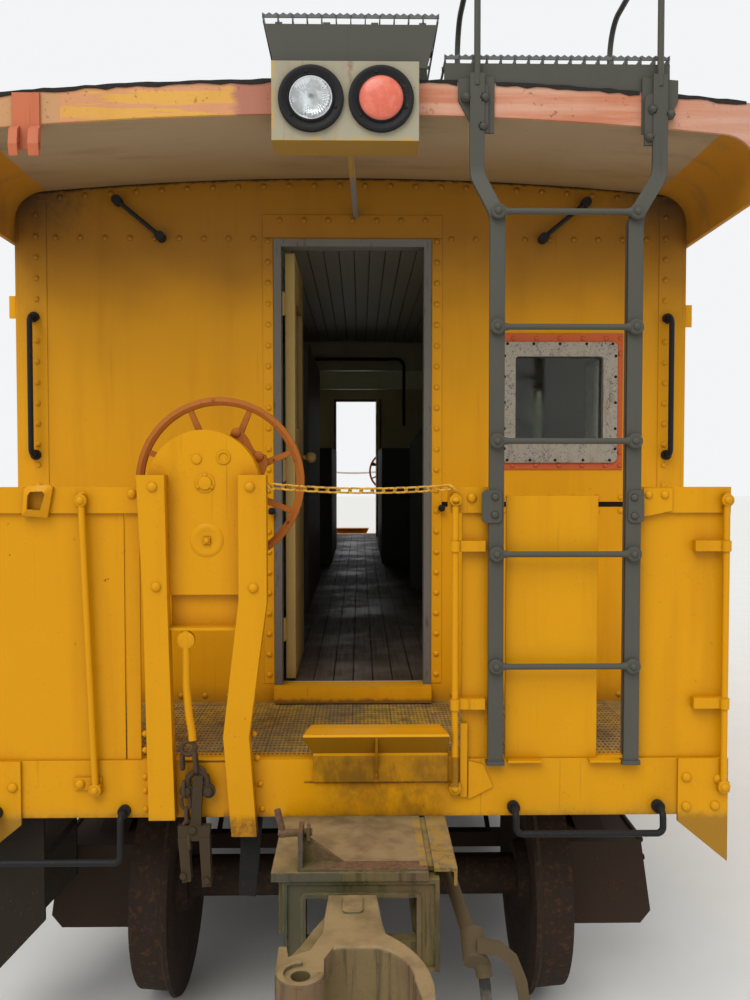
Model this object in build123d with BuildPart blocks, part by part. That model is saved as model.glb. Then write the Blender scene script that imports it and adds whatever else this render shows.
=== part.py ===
from build123d import *
from math import cos, radians, sin, sqrt
import os

os.makedirs("parts", exist_ok=True)

# Lengths are in millimetres. x runs across the car, y along it, and z up from the flange tips.
# Pieces are drawn for the front end, at -y, and a copy turned half round serves the rear end.

# Heights over the rails' top, which is flange_depth above z = 0
flange_depth = 28.0
deck_over_rail = 1117.0
floor_over_rail = 1188.0
soffit_over_rail = 3290.0
axle_over_rail = 419.0

# Body shell
body_length = 8850.0
body_width = 2773.0
wall_thickness = 70.0
wall_skirt = 115.0
platform_depth = 762.0
roof_thickness = 112.0
roof_radius = 13400.0
roof_setback = 77.0
eave_radius = 130.0
roof_corner = 45.0
eave_sheet = 18.0
eave_drop = 270.0
fit = 0.3

# Underframe
frame_depth = 150.0
deck_thickness = 30.0
centre_sill_width = 330.0
centre_sill_depth = 300.0
centre_sill_wall = 16.0
side_sill_width = 100.0
side_sill_depth = 180.0
end_sill_depth = 194.0
end_sill_web = 16.0
end_sill_flange = 80.0
end_sill_inset = 113.0
corner_plate_width = 170.0
corner_plate_depth = 353.0
corner_plate = 10.0
step_well = 213.5

# End door
door_width = 592.0
door_height = 1822.0
door_thickness = 40.0
door_gap = 8.0
door_frame_width = 30.0
hinge_radius = 8.0

# Cupola
cupola_start = 350.0
cupola_length = 2100.0
cupola_inset = 206.5
cupola_wall = 60.0
cupola_rise = 700.0
cupola_beam_drop = 280.0
cupola_roof_radius = 6000.0
cupola_roof_thickness = 60.0
cupola_overhang = 110.0

# Trucks
wheelbase = 2438.0
axle_behind_sill = 680.0
wheel_gauge = 1356.0
wheel_width = 145.0
flange_width = 32.0
journal_radius = 70.0
journal_spread = 1956.0
journal_box_width = 340.0
journal_box_length = 300.0
frame_web = 120.0

# Hand brake
brake_wheel_radius = 291.0
brake_wheel_x = -453.0
brake_wheel_over_rail = 2050.0
brake_housing_x = -491.0
brake_housing_width = 376.0
brake_housing_depth = 87.0

# Draft gear
striker_reach = 415.0
striker_width = 458.0
striker_opening = 324.0
striker_x = 33.0
coupler_over_rail = 772.0

# Ladder
ladder_left = 482.0
ladder_inset = 335.5
stile_width = 50.0
stile_thickness = 14.0
rung_radius = 10.0
first_rung = 1465.0
rung_spacing = 374.5
rung_count = 5

# Levels and planes worked out from the sizes above
deck_top = flange_depth + deck_over_rail
frame_top = deck_top - deck_thickness
floor_top = flange_depth + floor_over_rail
soffit = flange_depth + soffit_over_rail
crown = soffit + roof_thickness
axle_z = flange_depth + axle_over_rail
half_length = body_length / 2
half_width = body_width / 2
wall_y = -half_length
sill_y = wall_y - platform_depth
roof_y = sill_y + roof_setback
inner_x = half_width - wall_thickness
inner_y = half_length - wall_thickness
sill_half = half_width - end_sill_inset
sill_bottom = deck_top - end_sill_depth
flange_y = sill_y + end_sill_flange
ladder_right = sill_half - ladder_inset
cupola_end = cupola_start + cupola_length
cupola_half = half_width - cupola_inset
door_top = floor_top + door_height
truck_y = sill_y + axle_behind_sill + wheelbase / 2
handrail_z = flange_depth + 2034.0
striker_y = sill_y - striker_reach


def slab(x, y, z, mode=Mode.ADD):
    """A rectangular block between (low, high) pairs on each axis."""
    with BuildSketch(Plane.XY.offset(z[0])) as base:
        with Locations(((x[0] + x[1]) / 2, (y[0] + y[1]) / 2)):
            Rectangle(x[1] - x[0], y[1] - y[0])
    extrude(base.sketch, amount=z[1] - z[0], mode=mode)


def across(outline, y, mode=Mode.ADD):
    """A straight-sided outline of (x, z) points, between a (low, high) pair along the car."""
    with BuildSketch(Plane.XZ.offset(-y[1])) as face:
        with BuildLine():
            Polyline(*outline, close=True)
        make_face()
    extrude(face.sketch, amount=y[1] - y[0], mode=mode)


def along(outline, x, mode=Mode.ADD):
    """A straight-sided outline of (y, z) points, between a (low, high) pair across the car."""
    with BuildSketch(Plane.YZ.offset(x[0])) as face:
        with BuildLine():
            Polyline(*outline, close=True)
        make_face()
    extrude(face.sketch, amount=x[1] - x[0], mode=mode)


def barrel(start, end, radius, mode=Mode.ADD):
    """A round bar, or with Mode.SUBTRACT a bore, from one point straight to another."""
    axis = Vector(*end) - Vector(*start)
    with BuildSketch(Plane(origin=start, z_dir=axis)) as face:
        Circle(radius)
    extrude(face.sketch, amount=axis.length, mode=mode)


def rod(route, radius, bend):
    """A round bar along straight runs joined by bends."""
    with BuildLine() as path:
        FilletPolyline(*route, radius=bend)
    with BuildSketch(Plane(origin=path.line @ 0, z_dir=path.line % 0)) as face:
        Circle(radius)
    sweep(face.sketch, path=path.line)


def ball(centre, radius):
    """A round boss at the end of a bar."""
    with Locations(centre):
        Sphere(radius)


def arch(half, bottom, top, radius, corner, y):
    """The outline under a flat arched roof with rounded corners, on the plane at y."""
    shoulder = top - radius + sqrt(radius**2 - half**2)
    with BuildSketch(Plane.XZ.offset(-y)) as outline:
        with BuildLine():
            Line((-half, bottom), (half, bottom))
            Line((half, bottom), (half, shoulder))
            ThreePointArc((half, shoulder), (0, top), (-half, shoulder))
            Line((-half, shoulder), (-half, bottom))
        make_face()
        fillet(outline.vertices().group_by(Axis.Y)[-1], radius=corner)
    return outline.sketch


def body_section(bottom, y):
    """The body's cross section, up to the roof's underside."""
    return arch(half_width, bottom, soffit - fit, roof_radius, eave_radius, y)


def roof_section(y):
    """The roof's outer cross section, with its side sheets."""
    half = half_width + eave_sheet
    return arch(half, soffit - eave_drop, crown, roof_radius, roof_corner, y)


def above_roof(y):
    """Cuts away what lies under the roof's outer surface, between a (low, high) pair of y."""
    half = half_width + eave_sheet
    over = arch(half, soffit - eave_drop, crown + fit, roof_radius, roof_corner, y[1])
    extrude(over, amount=y[1] - y[0], mode=Mode.SUBTRACT)


def at_both_ends(piece):
    """A piece of the front end together with its half-turned copy at the rear end."""
    with BuildPart() as pair:
        add(piece)
        add(piece, rotation=(0, 0, 180))
    return pair


def rear(piece):
    """The half-turned copy of a piece of the front end."""
    with BuildPart() as copy:
        add(piece)
    return copy.part.rotate(Axis.Z, 180)


def save(piece, name):
    piece.label = name
    export_step(piece, f"parts/{name}.step")


# Centre sill, an open-bottomed box, closed under each truck by a round centre plate
sill_low = frame_top - centre_sill_depth
sill_side = centre_sill_width / 2
centre_plate_radius = 150.0
centre_plate_low = 760.0 + fit
with BuildPart() as centre_sill:
    slab((-sill_side, sill_side), (flange_y, -flange_y), (sill_low, frame_top))
    web = sill_side - centre_sill_wall
    slab((-web, web), (flange_y, -flange_y), (sill_low, frame_top - centre_sill_wall), Mode.SUBTRACT)
    for y in (truck_y, -truck_y):
        slab((-sill_side, sill_side), (y - 200, y + 200), (sill_low, sill_low + 20))
        barrel((0, y, sill_low + 10), (0, y, centre_plate_low), centre_plate_radius)
centre_sill.part.label = "centre_sill"
export_step(centre_sill.part, "parts/centre_sill.step")

# Side sills, channels open to the inside
with BuildPart() as side_sills:
    channel = 12.0
    for side in (-1, 1):
        low, high = sorted((side * inner_x, side * (inner_x - side_sill_width)))
        slab((low, high), (-inner_y, inner_y), (frame_top - side_sill_depth, frame_top))
        low, high = sorted((side * (inner_x - channel), side * (inner_x - side_sill_width)))
        hollow = (frame_top - side_sill_depth + channel, frame_top - channel)
        slab((low, high), (-inner_y, inner_y), hollow, Mode.SUBTRACT)
side_sills.part.label = "side_sills"
export_step(side_sills.part, "parts/side_sills.step")

# Cross bearers from the centre sill to the side sills, deeper and tapered over the trucks
bearer_end = inner_x - side_sill_width
bearer_low = frame_top - frame_depth
# rows: y of the middle, length along the car, depth at the centre sill
bearers = [
    (wall_y + wall_thickness + 50, 100, frame_depth),
    (truck_y, 360, centre_sill_depth),
    (-1400, 100, frame_depth),
    (-467, 100, frame_depth),
]
with BuildPart() as cross_bearers:
    for y, length, depth in bearers:
        for turn in (1, -1):
            for side in (1, -1):
                outline = [
                    (side * sill_side, frame_top),
                    (side * bearer_end, frame_top),
                    (side * bearer_end, bearer_low),
                    (side * sill_side, frame_top - depth),
                ]
                across(outline, (turn * y - length / 2, turn * y + length / 2))
cross_bearers.part.label = "cross_bearers"
export_step(cross_bearers.part, "parts/cross_bearers.step")

# Platform stringers, from the end sill back to the body
stringer_x = sill_half - step_well
stringer_width = 50.0
with BuildPart() as stringers:
    for side in (-1, 1):
        low, high = sorted((side * stringer_x, side * (stringer_x - stringer_width)))
        slab((low, high), (flange_y, wall_y + wall_thickness), (bearer_low, frame_top))
platform_stringers = at_both_ends(stringers.part)
platform_stringers.part.label = "platform_stringers"
export_step(platform_stringers.part, "parts/platform_stringers.step")

# End sills, channels with a triangular plate at each corner
with BuildPart() as end_sill:
    thick = 14.0
    outline = [
        (sill_y, sill_bottom),
        (sill_y, deck_top),
        (flange_y, deck_top),
        (flange_y, deck_top - thick),
        (sill_y + end_sill_web, deck_top - thick),
        (sill_y + end_sill_web, sill_bottom + thick),
        (flange_y, sill_bottom + thick),
        (flange_y, sill_bottom),
    ]
    along(outline, (-sill_half, sill_half))
    for side in (-1, 1):
        inner = side * (sill_half - corner_plate_width)
        outline = [
            (inner, deck_top),
            (side * sill_half, deck_top),
            (side * sill_half, deck_top - corner_plate_depth),
            (inner, sill_bottom - 20),
        ]
        across(outline, (sill_y - corner_plate, sill_y))
end_sills = at_both_ends(end_sill.part)
end_sills.part.label = "end_sills"
export_step(end_sills.part, "parts/end_sills.step")

# Platform decks, cut away over the step wells at the corners
well_back = sill_y + 447.0
with BuildPart() as deck:
    slab((-sill_half, sill_half), (flange_y, wall_y), (frame_top, deck_top))
    for side in (-1, 1):
        low, high = sorted((side * stringer_x, side * (sill_half + 1)))
        slab((low, high), (flange_y, well_back), (frame_top, deck_top), Mode.SUBTRACT)
platform_decks = at_both_ends(deck.part)
platform_decks.part.label = "platform_decks"
export_step(platform_decks.part, "parts/platform_decks.step")

# Interior floor
with BuildPart() as interior_floor:
    slab((-inner_x, inner_x), (-inner_y, inner_y), (frame_top, floor_top))
interior_floor.part.label = "interior_floor"
export_step(interior_floor.part, "parts/interior_floor.step")

# Walls and the planes of their outer faces
front_face = Plane(origin=(0, wall_y, 0), x_dir=(1, 0, 0), z_dir=(0, -1, 0))
rear_face = Plane(origin=(0, -wall_y, 0), x_dir=(-1, 0, 0), z_dir=(0, 1, 0))
right_face = Plane(origin=(half_width, 0, 0), x_dir=(0, 1, 0), z_dir=(1, 0, 0))
left_face = Plane(origin=(-half_width, 0, 0), x_dir=(0, -1, 0), z_dir=(-1, 0, 0))
cupola_front_face = Plane(origin=(0, cupola_start, 0), x_dir=(1, 0, 0), z_dir=(0, -1, 0))
cupola_rear_face = Plane(origin=(0, cupola_end, 0), x_dir=(-1, 0, 0), z_dir=(0, 1, 0))
cupola_right_face = Plane(origin=(cupola_half, 0, 0), x_dir=(0, 1, 0), z_dir=(1, 0, 0))
cupola_left_face = Plane(origin=(-cupola_half, 0, 0), x_dir=(0, -1, 0), z_dir=(-1, 0, 0))

window_flange = 45.0
window_pad = 4.0
front_pad_face = front_face.offset(window_pad)
rear_pad_face = rear_face.offset(window_pad)
end_window = (half_width - 527.5, 2413.0, 416.0, 401.0)
end_window_flanges = (34.0, 65.0)
end_window_pad = (531.0, 565.0)
end_window_pad_z = 2401.0
side_window_z = 2380.0
side_window = (600.0, 700.0)
cupola_window_z = crown + 330.0
cupola_window = (620.0, 380.0)
cupola_middle = (cupola_start + cupola_end) / 2

# rows: outer face, wall thickness, centre along the face, centre height, width, height, and how far
# the frame's flange reaches past the opening at its sides and top, and at its bottom
windows = [
    (front_pad_face, wall_thickness + window_pad, *end_window, *end_window_flanges),
    (rear_pad_face, wall_thickness + window_pad, *end_window, *end_window_flanges),
]
even_flanges = (window_flange, window_flange)
for along_car in (-3300.0, -1500.0, 3300.0):
    for face, turn in ((right_face, 1), (left_face, -1)):
        windows.append((face, wall_thickness, turn * along_car, side_window_z, *side_window, *even_flanges))
for offset_x in (-665.0, 665.0):
    for face in (cupola_front_face, cupola_rear_face):
        windows.append((face, cupola_wall, offset_x, cupola_window_z, *cupola_window, *even_flanges))
for offset_y in (-480.0, 480.0):
    for face, turn in ((cupola_right_face, 1), (cupola_left_face, -1)):
        place = turn * (cupola_middle + offset_y)
        windows.append((face, cupola_wall, place, cupola_window_z, *cupola_window, *even_flanges))


def cut_windows(wall_face):
    """Cuts the openings of one wall's windows in the part being built."""
    for face, thickness, place, height, wide, high, side_flange, low_flange in windows:
        if face is wall_face:
            with BuildSketch(face) as opening:
                with Locations((place, height)):
                    Rectangle(wide, high)
            extrude(opening.sketch, amount=-thickness, mode=Mode.SUBTRACT)


frame_half = door_width / 2 + door_frame_width
frame_head = door_top + door_frame_width
belt_z = 1962.0
belt_height = 22.0
belt_depth = 5.0
belt_gap = 45.0
with BuildPart() as end_wall:
    extrude(body_section(frame_top, wall_y + wall_thickness), amount=wall_thickness)
    doorway = (wall_y, wall_y + wall_thickness)
    slab((-frame_half, frame_half), doorway, (floor_top, frame_head), Mode.SUBTRACT)
    with BuildSketch(front_face) as pad:
        with Locations((end_window[0], end_window_pad_z)):
            Rectangle(*end_window_pad)
    extrude(pad.sketch, amount=window_pad)
    for side in (-1, 1):
        groove = sorted((side * (frame_half + belt_gap), side * half_width))
        slab(groove, (wall_y, wall_y + belt_depth), (belt_z, belt_z + belt_height), Mode.SUBTRACT)
    cut_windows(front_pad_face)
end_wall.part.label = "front_end_wall"
export_step(end_wall.part, "parts/front_end_wall.step")
rear_wall = rear(end_wall.part)
save(rear_wall, "rear_end_wall")

for name, face, side in (("left", left_face, -1), ("right", right_face, 1)):
    with BuildPart() as side_wall:
        extrude(body_section(frame_top - wall_skirt, inner_y), amount=2 * inner_y)
        low, high = sorted((side * inner_x, -side * (half_width + 1)))
        slab((low, high), (-inner_y, inner_y), (frame_top - wall_skirt, crown), Mode.SUBTRACT)
        cut_windows(face)
    save(side_wall.part, f"{name}_side_wall")

# Roof, one shell with the side sheets rolled down over the walls, open under the cupola
with BuildPart() as roof:
    extrude(roof_section(-roof_y), amount=-2 * roof_y)
    under = arch(half_width, soffit - eave_drop, soffit, roof_radius, eave_radius, -roof_y)
    extrude(under, amount=-2 * roof_y, mode=Mode.SUBTRACT)
    opening = (cupola_start, cupola_end)
    slab((-cupola_half, cupola_half), opening, (soffit - eave_drop, crown), Mode.SUBTRACT)
roof.part.label = "roof"
export_step(roof.part, "parts/roof.step")

# Cupola walls, which pass through the roof and end in a beam below it
beam_low = soffit - cupola_beam_drop
cupola_soffit = crown + cupola_rise
with BuildPart() as cupola_ends:
    for y in (cupola_start, cupola_end - cupola_wall):
        section = arch(cupola_half, beam_low, cupola_soffit, cupola_roof_radius, 40, y + cupola_wall)
        extrude(section, amount=cupola_wall)
    cut_windows(cupola_front_face)
    cut_windows(cupola_rear_face)
cupola_ends.part.label = "cupola_end_walls"
export_step(cupola_ends.part, "parts/cupola_end_walls.step")

with BuildPart() as cupola_sides:
    span = (cupola_start + cupola_wall, cupola_end - cupola_wall)
    section = arch(cupola_half, beam_low, cupola_soffit, cupola_roof_radius, 40, span[1])
    extrude(section, amount=span[1] - span[0])
    room = cupola_half - cupola_wall
    slab((-room, room), span, (beam_low, cupola_soffit), Mode.SUBTRACT)
    cut_windows(cupola_right_face)
    cut_windows(cupola_left_face)
cupola_sides.part.label = "cupola_side_walls"
export_step(cupola_sides.part, "parts/cupola_side_walls.step")

with BuildPart() as cupola_roof:
    brim = cupola_half + cupola_overhang
    lower = cupola_soffit + fit
    upper = lower + cupola_roof_thickness
    drop = cupola_roof_radius - sqrt(cupola_roof_radius**2 - brim**2)
    with BuildSketch(Plane.XZ.offset(-(cupola_end + cupola_overhang))) as shell:
        with BuildLine():
            ThreePointArc((-brim, lower - drop), (0, lower), (brim, lower - drop))
            Line((brim, lower - drop), (brim, upper - drop))
            ThreePointArc((brim, upper - drop), (0, upper), (-brim, upper - drop))
            Line((-brim, upper - drop), (-brim, lower - drop))
        make_face()
    extrude(amount=cupola_length + 2 * cupola_overhang)
cupola_roof.part.label = "cupola_roof"
export_step(cupola_roof.part, "parts/cupola_roof.step")

# Window frames, each a sleeve in its opening with a flange outside, and the panes in them
sleeve = 25.0
flange_sheet = 8.0
flange_corner = 22.0
light_corner = 14.0
pane = 6.0
with BuildPart() as window_frames:
    for face, thickness, place, height, wide, high, side_flange, low_flange in windows:
        with BuildSketch(face) as outer:
            with Locations((place, height + (side_flange - low_flange) / 2)):
                RectangleRounded(wide + 2 * side_flange, high + side_flange + low_flange, flange_corner)
        extrude(outer.sketch, amount=flange_sheet)
        with BuildSketch(face) as collar:
            with Locations((place, height)):
                Rectangle(wide, high)
        extrude(collar.sketch, amount=-thickness)
        with BuildSketch(face.offset(flange_sheet)) as light:
            with Locations((place, height)):
                RectangleRounded(wide - 2 * sleeve, high - 2 * sleeve, light_corner)
        extrude(light.sketch, amount=-thickness - flange_sheet, mode=Mode.SUBTRACT)
window_frames.part.label = "window_frames"
export_step(window_frames.part, "parts/window_frames.step")

with BuildPart() as window_glass:
    for face, thickness, place, height, wide, high, side_flange, low_flange in windows:
        with BuildSketch(face.offset(-thickness / 3)) as light:
            with Locations((place, height)):
                RectangleRounded(wide - 2 * sleeve, high - 2 * sleeve, light_corner)
        extrude(light.sketch, amount=-pane)
window_glass.part.label = "window_glass"
export_step(window_glass.part, "parts/window_glass.step")

# Door frames, each with a threshold plank
threshold_reach = 52.0
threshold_low = 1150.0
with BuildPart() as door_frame:
    jamb = door_width / 2
    outline = [
        (-frame_half, floor_top),
        (-frame_half, frame_head),
        (frame_half, frame_head),
        (frame_half, floor_top),
        (jamb, floor_top),
        (jamb, door_top),
        (-jamb, door_top),
        (-jamb, floor_top),
    ]
    across(outline, (wall_y - 6, wall_y + wall_thickness))
    slab((-frame_half, frame_half), (wall_y - threshold_reach, wall_y), (threshold_low, floor_top))
door_frames = at_both_ends(door_frame.part)
door_frames.part.label = "door_frames"
export_step(door_frames.part, "parts/door_frames.step")

# End doors, drawn open at a right angle to the wall, hinged just inside it
hinge_x = -door_width / 2
hinge_y = wall_y + wall_thickness + hinge_radius + fit
leaf_x = (hinge_x + hinge_radius + 2, hinge_x + hinge_radius + 2 + door_thickness)
leaf_y = (hinge_y + door_gap, hinge_y + door_width - door_gap)
leaf_z = (floor_top + 8, door_top - 8)
light_y = ((leaf_y[0] + leaf_y[1]) / 2 - 190, (leaf_y[0] + leaf_y[1]) / 2 + 190)
light_z = (door_top - 740, door_top - 190)
knob_z = floor_top + 960
with BuildPart() as door:
    slab(leaf_x, leaf_y, leaf_z)
    slab(leaf_x, light_y, light_z, Mode.SUBTRACT)
    for height in (floor_top + 220, floor_top + 900, door_top - 220):
        barrel((hinge_x, hinge_y, height - 50), (hinge_x, hinge_y, height + 50), hinge_radius)
        slab((hinge_x, leaf_x[0] + 4), (hinge_y + 3, leaf_y[0] + 60), (height - 45, height + 45))
    barrel((leaf_x[0] - 45, leaf_y[1] - 60, knob_z), (leaf_x[1] + 45, leaf_y[1] - 60, knob_z), 11)
    for x in (leaf_x[0] - 40, leaf_x[1] + 40):
        ball((x, leaf_y[1] - 60, knob_z), 26)
with BuildPart() as door_pane:
    middle = (leaf_x[0] + leaf_x[1]) / 2
    slab((middle - pane / 2, middle + pane / 2), light_y, light_z)
save(door.part, "front_door")
save(rear(door.part), "rear_door")
save(door_pane.part, "front_door_glass")
save(rear(door_pane.part), "rear_door_glass")

# Lockers and partition inside the cabin, and the pipe to hold under the cupola
aisle = 240.0
with BuildPart() as interior_lockers:
    for side in (-1, 1):
        low, high = sorted((side * aisle, side * inner_x))
        slab((low, high), (cupola_start + 130, cupola_end - 130), (floor_top, floor_top + 1100))
    slab((-inner_x, -300), (-2400, -700), (floor_top, floor_top + 1700))
    outline = [
        (400, floor_top),
        (400, floor_top + 1080),
        (520, floor_top + 1260),
        (inner_x, floor_top + 1260),
        (inner_x, floor_top),
    ]
    across(outline, (-1500, -1460))
interior_lockers.part.label = "interior_lockers"
export_step(interior_lockers.part, "parts/interior_lockers.step")

pipe_y = cupola_start - 45
pipe_z = beam_low + 100
with BuildPart() as cupola_pipe:
    rod([(-520, pipe_y, pipe_z), (440, pipe_y, pipe_z), (440, pipe_y, pipe_z - 620)], 14, 70)
    for x in (-500, -20, 360):
        barrel((x, pipe_y, pipe_z), (x, cupola_start, pipe_z), 10)
cupola_pipe.part.label = "cupola_grab_pipe"
export_step(cupola_pipe.part, "parts/cupola_grab_pipe.step")

# End railings, flat top rails over sheet panels, with round stays clamped to them
panel_y = (sill_y + 8, sill_y + 16)
rail_y = (sill_y - 4, sill_y + 8)
rail_z = (handrail_z - 87, handrail_z)
stay_radius = 11.0
stay_y = sill_y - corner_plate - stay_radius - fit
# rows: x of the two edges of each panel
panels = [
    (-sill_half + 20, -757),
    (-752, -705),
    (373, 463),
    (ladder_left + 38, ladder_right - 108),
    (ladder_right + 25, sill_half - 20),
]
# rows: x of the two ends of each top rail
top_rails = [(-sill_half, -703), (323, ladder_left - 25), (ladder_right + 25, sill_half)]
# rows: x of the stay's foot, x of its head, y of the face its foot is bolted to, x of its clamps' ends
stays = [
    (-852, -890, sill_y - fit, None),
    (347, 347, sill_y - fit, 448),
    (sill_half - 20, sill_half - 20, sill_y - corner_plate - fit, sill_half - 123.5),
]
with BuildPart() as railing:
    for low, high in panels:
        slab((low, high), panel_y, (deck_top, handrail_z - 30))
    for low, high in top_rails:
        slab((low, high), rail_y, rail_z)
    for x, head_x, foot_y, clamp in stays:
        barrel((x, stay_y, deck_top - 80), (head_x, stay_y, handrail_z - 20), stay_radius)
        slab((x - 18, x + 18), (stay_y - 8, foot_y), (deck_top - 110, deck_top - 74))
        slab((head_x - 14, head_x + 14), (stay_y, rail_y[0]), (handrail_z - 64, handrail_z - 24))
        if clamp:
            for height in (deck_top + 190, deck_top + 720):
                low, high = sorted((x, clamp))
                slab((low, high), (stay_y, panel_y[0]), (height - 18, height + 18))
                barrel((x, stay_y, height - 18), (x, stay_y, height + 18), stay_radius + 5)
    # Plate under the left stay's foot, the bar and plate beside the next one, and the ladder's ledges
    slab((-925, -834), (sill_y - 8, sill_y), (1048, 1090))
    slab((366, 390), (sill_y - 12, sill_y), (1018, 1268))
    across([(394, 1140), (446, 1127), (478, 1050), (394, 1008)], (sill_y - 6, sill_y))
    for low, high in ((ladder_left + 43, ladder_left + 158), (ladder_right - 138, ladder_right - 33)):
        slab((low, high), (sill_y - 26, sill_y), (deck_top - 8, deck_top))
end_railings = at_both_ends(railing.part)
end_railings.part.label = "end_railings"
export_step(end_railings.part, "parts/end_railings.step")

# Hand brake stands, two bent posts that carry a round-topped gear housing
post_depth = 48.0
post_y = (sill_y - post_depth, sill_y)
post_top = 2102.0
left_post = [
    (-703, post_top),
    (-610, post_top),
    (-603, 1685),
    (-583, 958),
    (-670, 958),
    (-683, 1685),
]
right_post = [
    (-370, post_top),
    (-277, post_top),
    (-277, 1685),
    (-337, 1235),
    (-313, 902),
    (-397, 902),
    (-423, 1235),
    (-370, 1685),
]
housing_top = 2252.0
housing_low = 1702.0
tray_low = 1587.0
housing_half = brake_housing_width / 2
housing_back = sill_y + brake_housing_depth
with BuildPart() as stand:
    across(left_post, post_y)
    across(right_post, post_y)
    with BuildSketch(Plane.XZ.offset(-housing_back)) as shield:
        with Locations((brake_housing_x, housing_top - housing_half)):
            Circle(housing_half)
        with Locations((brake_housing_x, (housing_top - housing_half + housing_low) / 2)):
            Rectangle(brake_housing_width, housing_top - housing_half - housing_low)
    extrude(shield.sketch, amount=brake_housing_depth)
    slab((-604, -372), (sill_y + 24, sill_y + 36), (tray_low, housing_low))
    slab((-604, -372), (sill_y - 30, sill_y + 36), (tray_low, tray_low + 10))
brake_stands = at_both_ends(stand.part)
brake_stands.part.label = "brake_stands"
export_step(brake_stands.part, "parts/brake_stands.step")

# Hand brake wheels, an angular rim on eight tapered spokes
wheel_plane_y = housing_back + 42
brake_axis_z = flange_depth + brake_wheel_over_rail
rim_width = 28.0
hub_radius = 42.0
spoke_count = 8
with BuildPart() as brake_wheel:
    turning = Axis((brake_wheel_x, wheel_plane_y, brake_axis_z), (0, 1, 0))
    with BuildSketch(Plane(origin=turning.position, x_dir=(1, 0, 0), z_dir=(0, 0, 1))) as rim:
        with BuildLine():
            outline = [
                (brake_wheel_radius - rim_width, -7),
                (brake_wheel_radius - 16, -14),
                (brake_wheel_radius, -8),
                (brake_wheel_radius, 8),
                (brake_wheel_radius - 16, 14),
                (brake_wheel_radius - rim_width, 7),
            ]
            Polyline(*outline, close=True)
        make_face()
    revolve(rim.sketch, axis=turning, revolution_arc=360)
    centre = (brake_wheel_x, wheel_plane_y + 18, brake_axis_z)
    barrel((brake_wheel_x, housing_back + fit, brake_axis_z), centre, hub_radius / 2)
    barrel((brake_wheel_x, wheel_plane_y - 20, brake_axis_z), centre, hub_radius)
    for index in range(spoke_count):
        turn = radians(index * 360 / spoke_count + 22.5)
        spoke_plane = Plane(origin=turning.position, x_dir=(cos(turn), 0, sin(turn)), z_dir=(0, -1, 0))
        with BuildSketch(spoke_plane) as spoke:
            with BuildLine():
                reach = brake_wheel_radius - rim_width + 6
                outline = [(hub_radius - 8, -16), (reach, -9), (reach, 9), (hub_radius - 8, 16)]
                Polyline(*outline, close=True)
            make_face()
        extrude(spoke.sketch, amount=6, both=True)
save(brake_wheel.part, "front_brake_wheel")
save(rear(brake_wheel.part), "rear_brake_wheel")


def chain_link(centre, turn, size=(34.0, 52.0), bar=10.0):
    """One upright link of a chain, flat-sided, turned about its own height."""
    wide, high = size
    link_plane = Plane(origin=centre, x_dir=(cos(radians(turn)), sin(radians(turn)), 0),
                       z_dir=(sin(radians(turn)), -cos(radians(turn)), 0))
    with BuildSketch(link_plane) as loop:
        SlotOverall(high, wide, rotation=90)
        SlotOverall(high - 2 * bar, wide - 2 * bar, rotation=90, mode=Mode.SUBTRACT)
    extrude(loop.sketch, amount=bar / 2, both=True)


# Hand brake rods, from the eye under the shelf down through a short chain to the crank
rod_y = sill_y - 18
link_pitch = 52.0 - 2 * 10.0 - fit
with BuildPart() as rigging:
    route = [
        (-547, rod_y, tray_low - fit),
        (-547, rod_y, 1440),
        (-523, rod_y - 14, 1300),
        (-523, rod_y - 14, 1224),
    ]
    rod(route, 9, 60)
    for index in range(9):
        chain_link((-523, rod_y - 14, 1208.7 - index * link_pitch), 90 * (index % 2))
    across([(-545, 940), (-501, 940), (-470, 735), (-505, 735)], (rod_y - 20, rod_y - 8))
brake_rigging = at_both_ends(rigging.part)
brake_rigging.part.label = "brake_rigging"
export_step(brake_rigging.part, "parts/brake_rigging.step")

# Ladders, flat stiles bent over to the roof's end, with round rungs and roof handrails
stile_y = sill_y - 21
bracket_y = roof_y - 8
bend_z = 2955.0
bracket_low = 3110.0
top_z = soffit + 130
stile_bend = 90.0
# rows: x of the stile, x of its bracket on the roof's end
stile_table = [(ladder_left, ladder_left - 58), (ladder_right, ladder_right + 104)]
rail_back = roof_y + 620
rail_top = crown + 470
with BuildPart() as ladder:
    for x, bracket_x in stile_table:
        mid = bracket_y - stile_thickness / 2
        route = [
            (x, stile_y, deck_top),
            (x, stile_y, bend_z),
            (bracket_x, mid, bracket_low),
            (bracket_x, mid, top_z),
        ]
        with BuildLine() as path:
            FilletPolyline(*route, radius=stile_bend)
        with BuildSketch(Plane(origin=route[0], z_dir=(0, 0, 1))) as face:
            Rectangle(stile_width, stile_thickness)
        sweep(face.sketch, path=path.line)
        slab((x - 30, x + 30), (sill_y - 34, sill_y), (deck_top - 14, deck_top))
        side = 1 if bracket_x > x else -1
        gusset = [
            (bracket_x - side * 59, soffit + 124),
            (bracket_x - side * 59, soffit - 65),
            (bracket_x + side * 4, soffit - 65),
            (bracket_x + side * 63, soffit + 44),
            (bracket_x + side * 63, soffit + 114),
        ]
        across(gusset, (bracket_y, roof_y))
        route = [
            (bracket_x, mid, top_z - 40),
            (bracket_x, mid, rail_top),
            (bracket_x, rail_back, rail_top),
            (bracket_x, rail_back, crown - 30),
        ]
        rod(route, 11, 120)
    for index in range(rung_count):
        height = first_rung + index * rung_spacing
        rung_y = stile_y - stile_thickness / 2 - rung_radius + 1
        barrel((ladder_left, rung_y, height), (ladder_right, rung_y, height), rung_radius)
        for x in (ladder_left, ladder_right):
            barrel((x, rung_y - rung_radius, height), (x, stile_y, height), 22)
    above_roof((roof_y, rail_back + 40))
ladders = at_both_ends(ladder.part)
ladders.part.label = "ladders"
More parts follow.
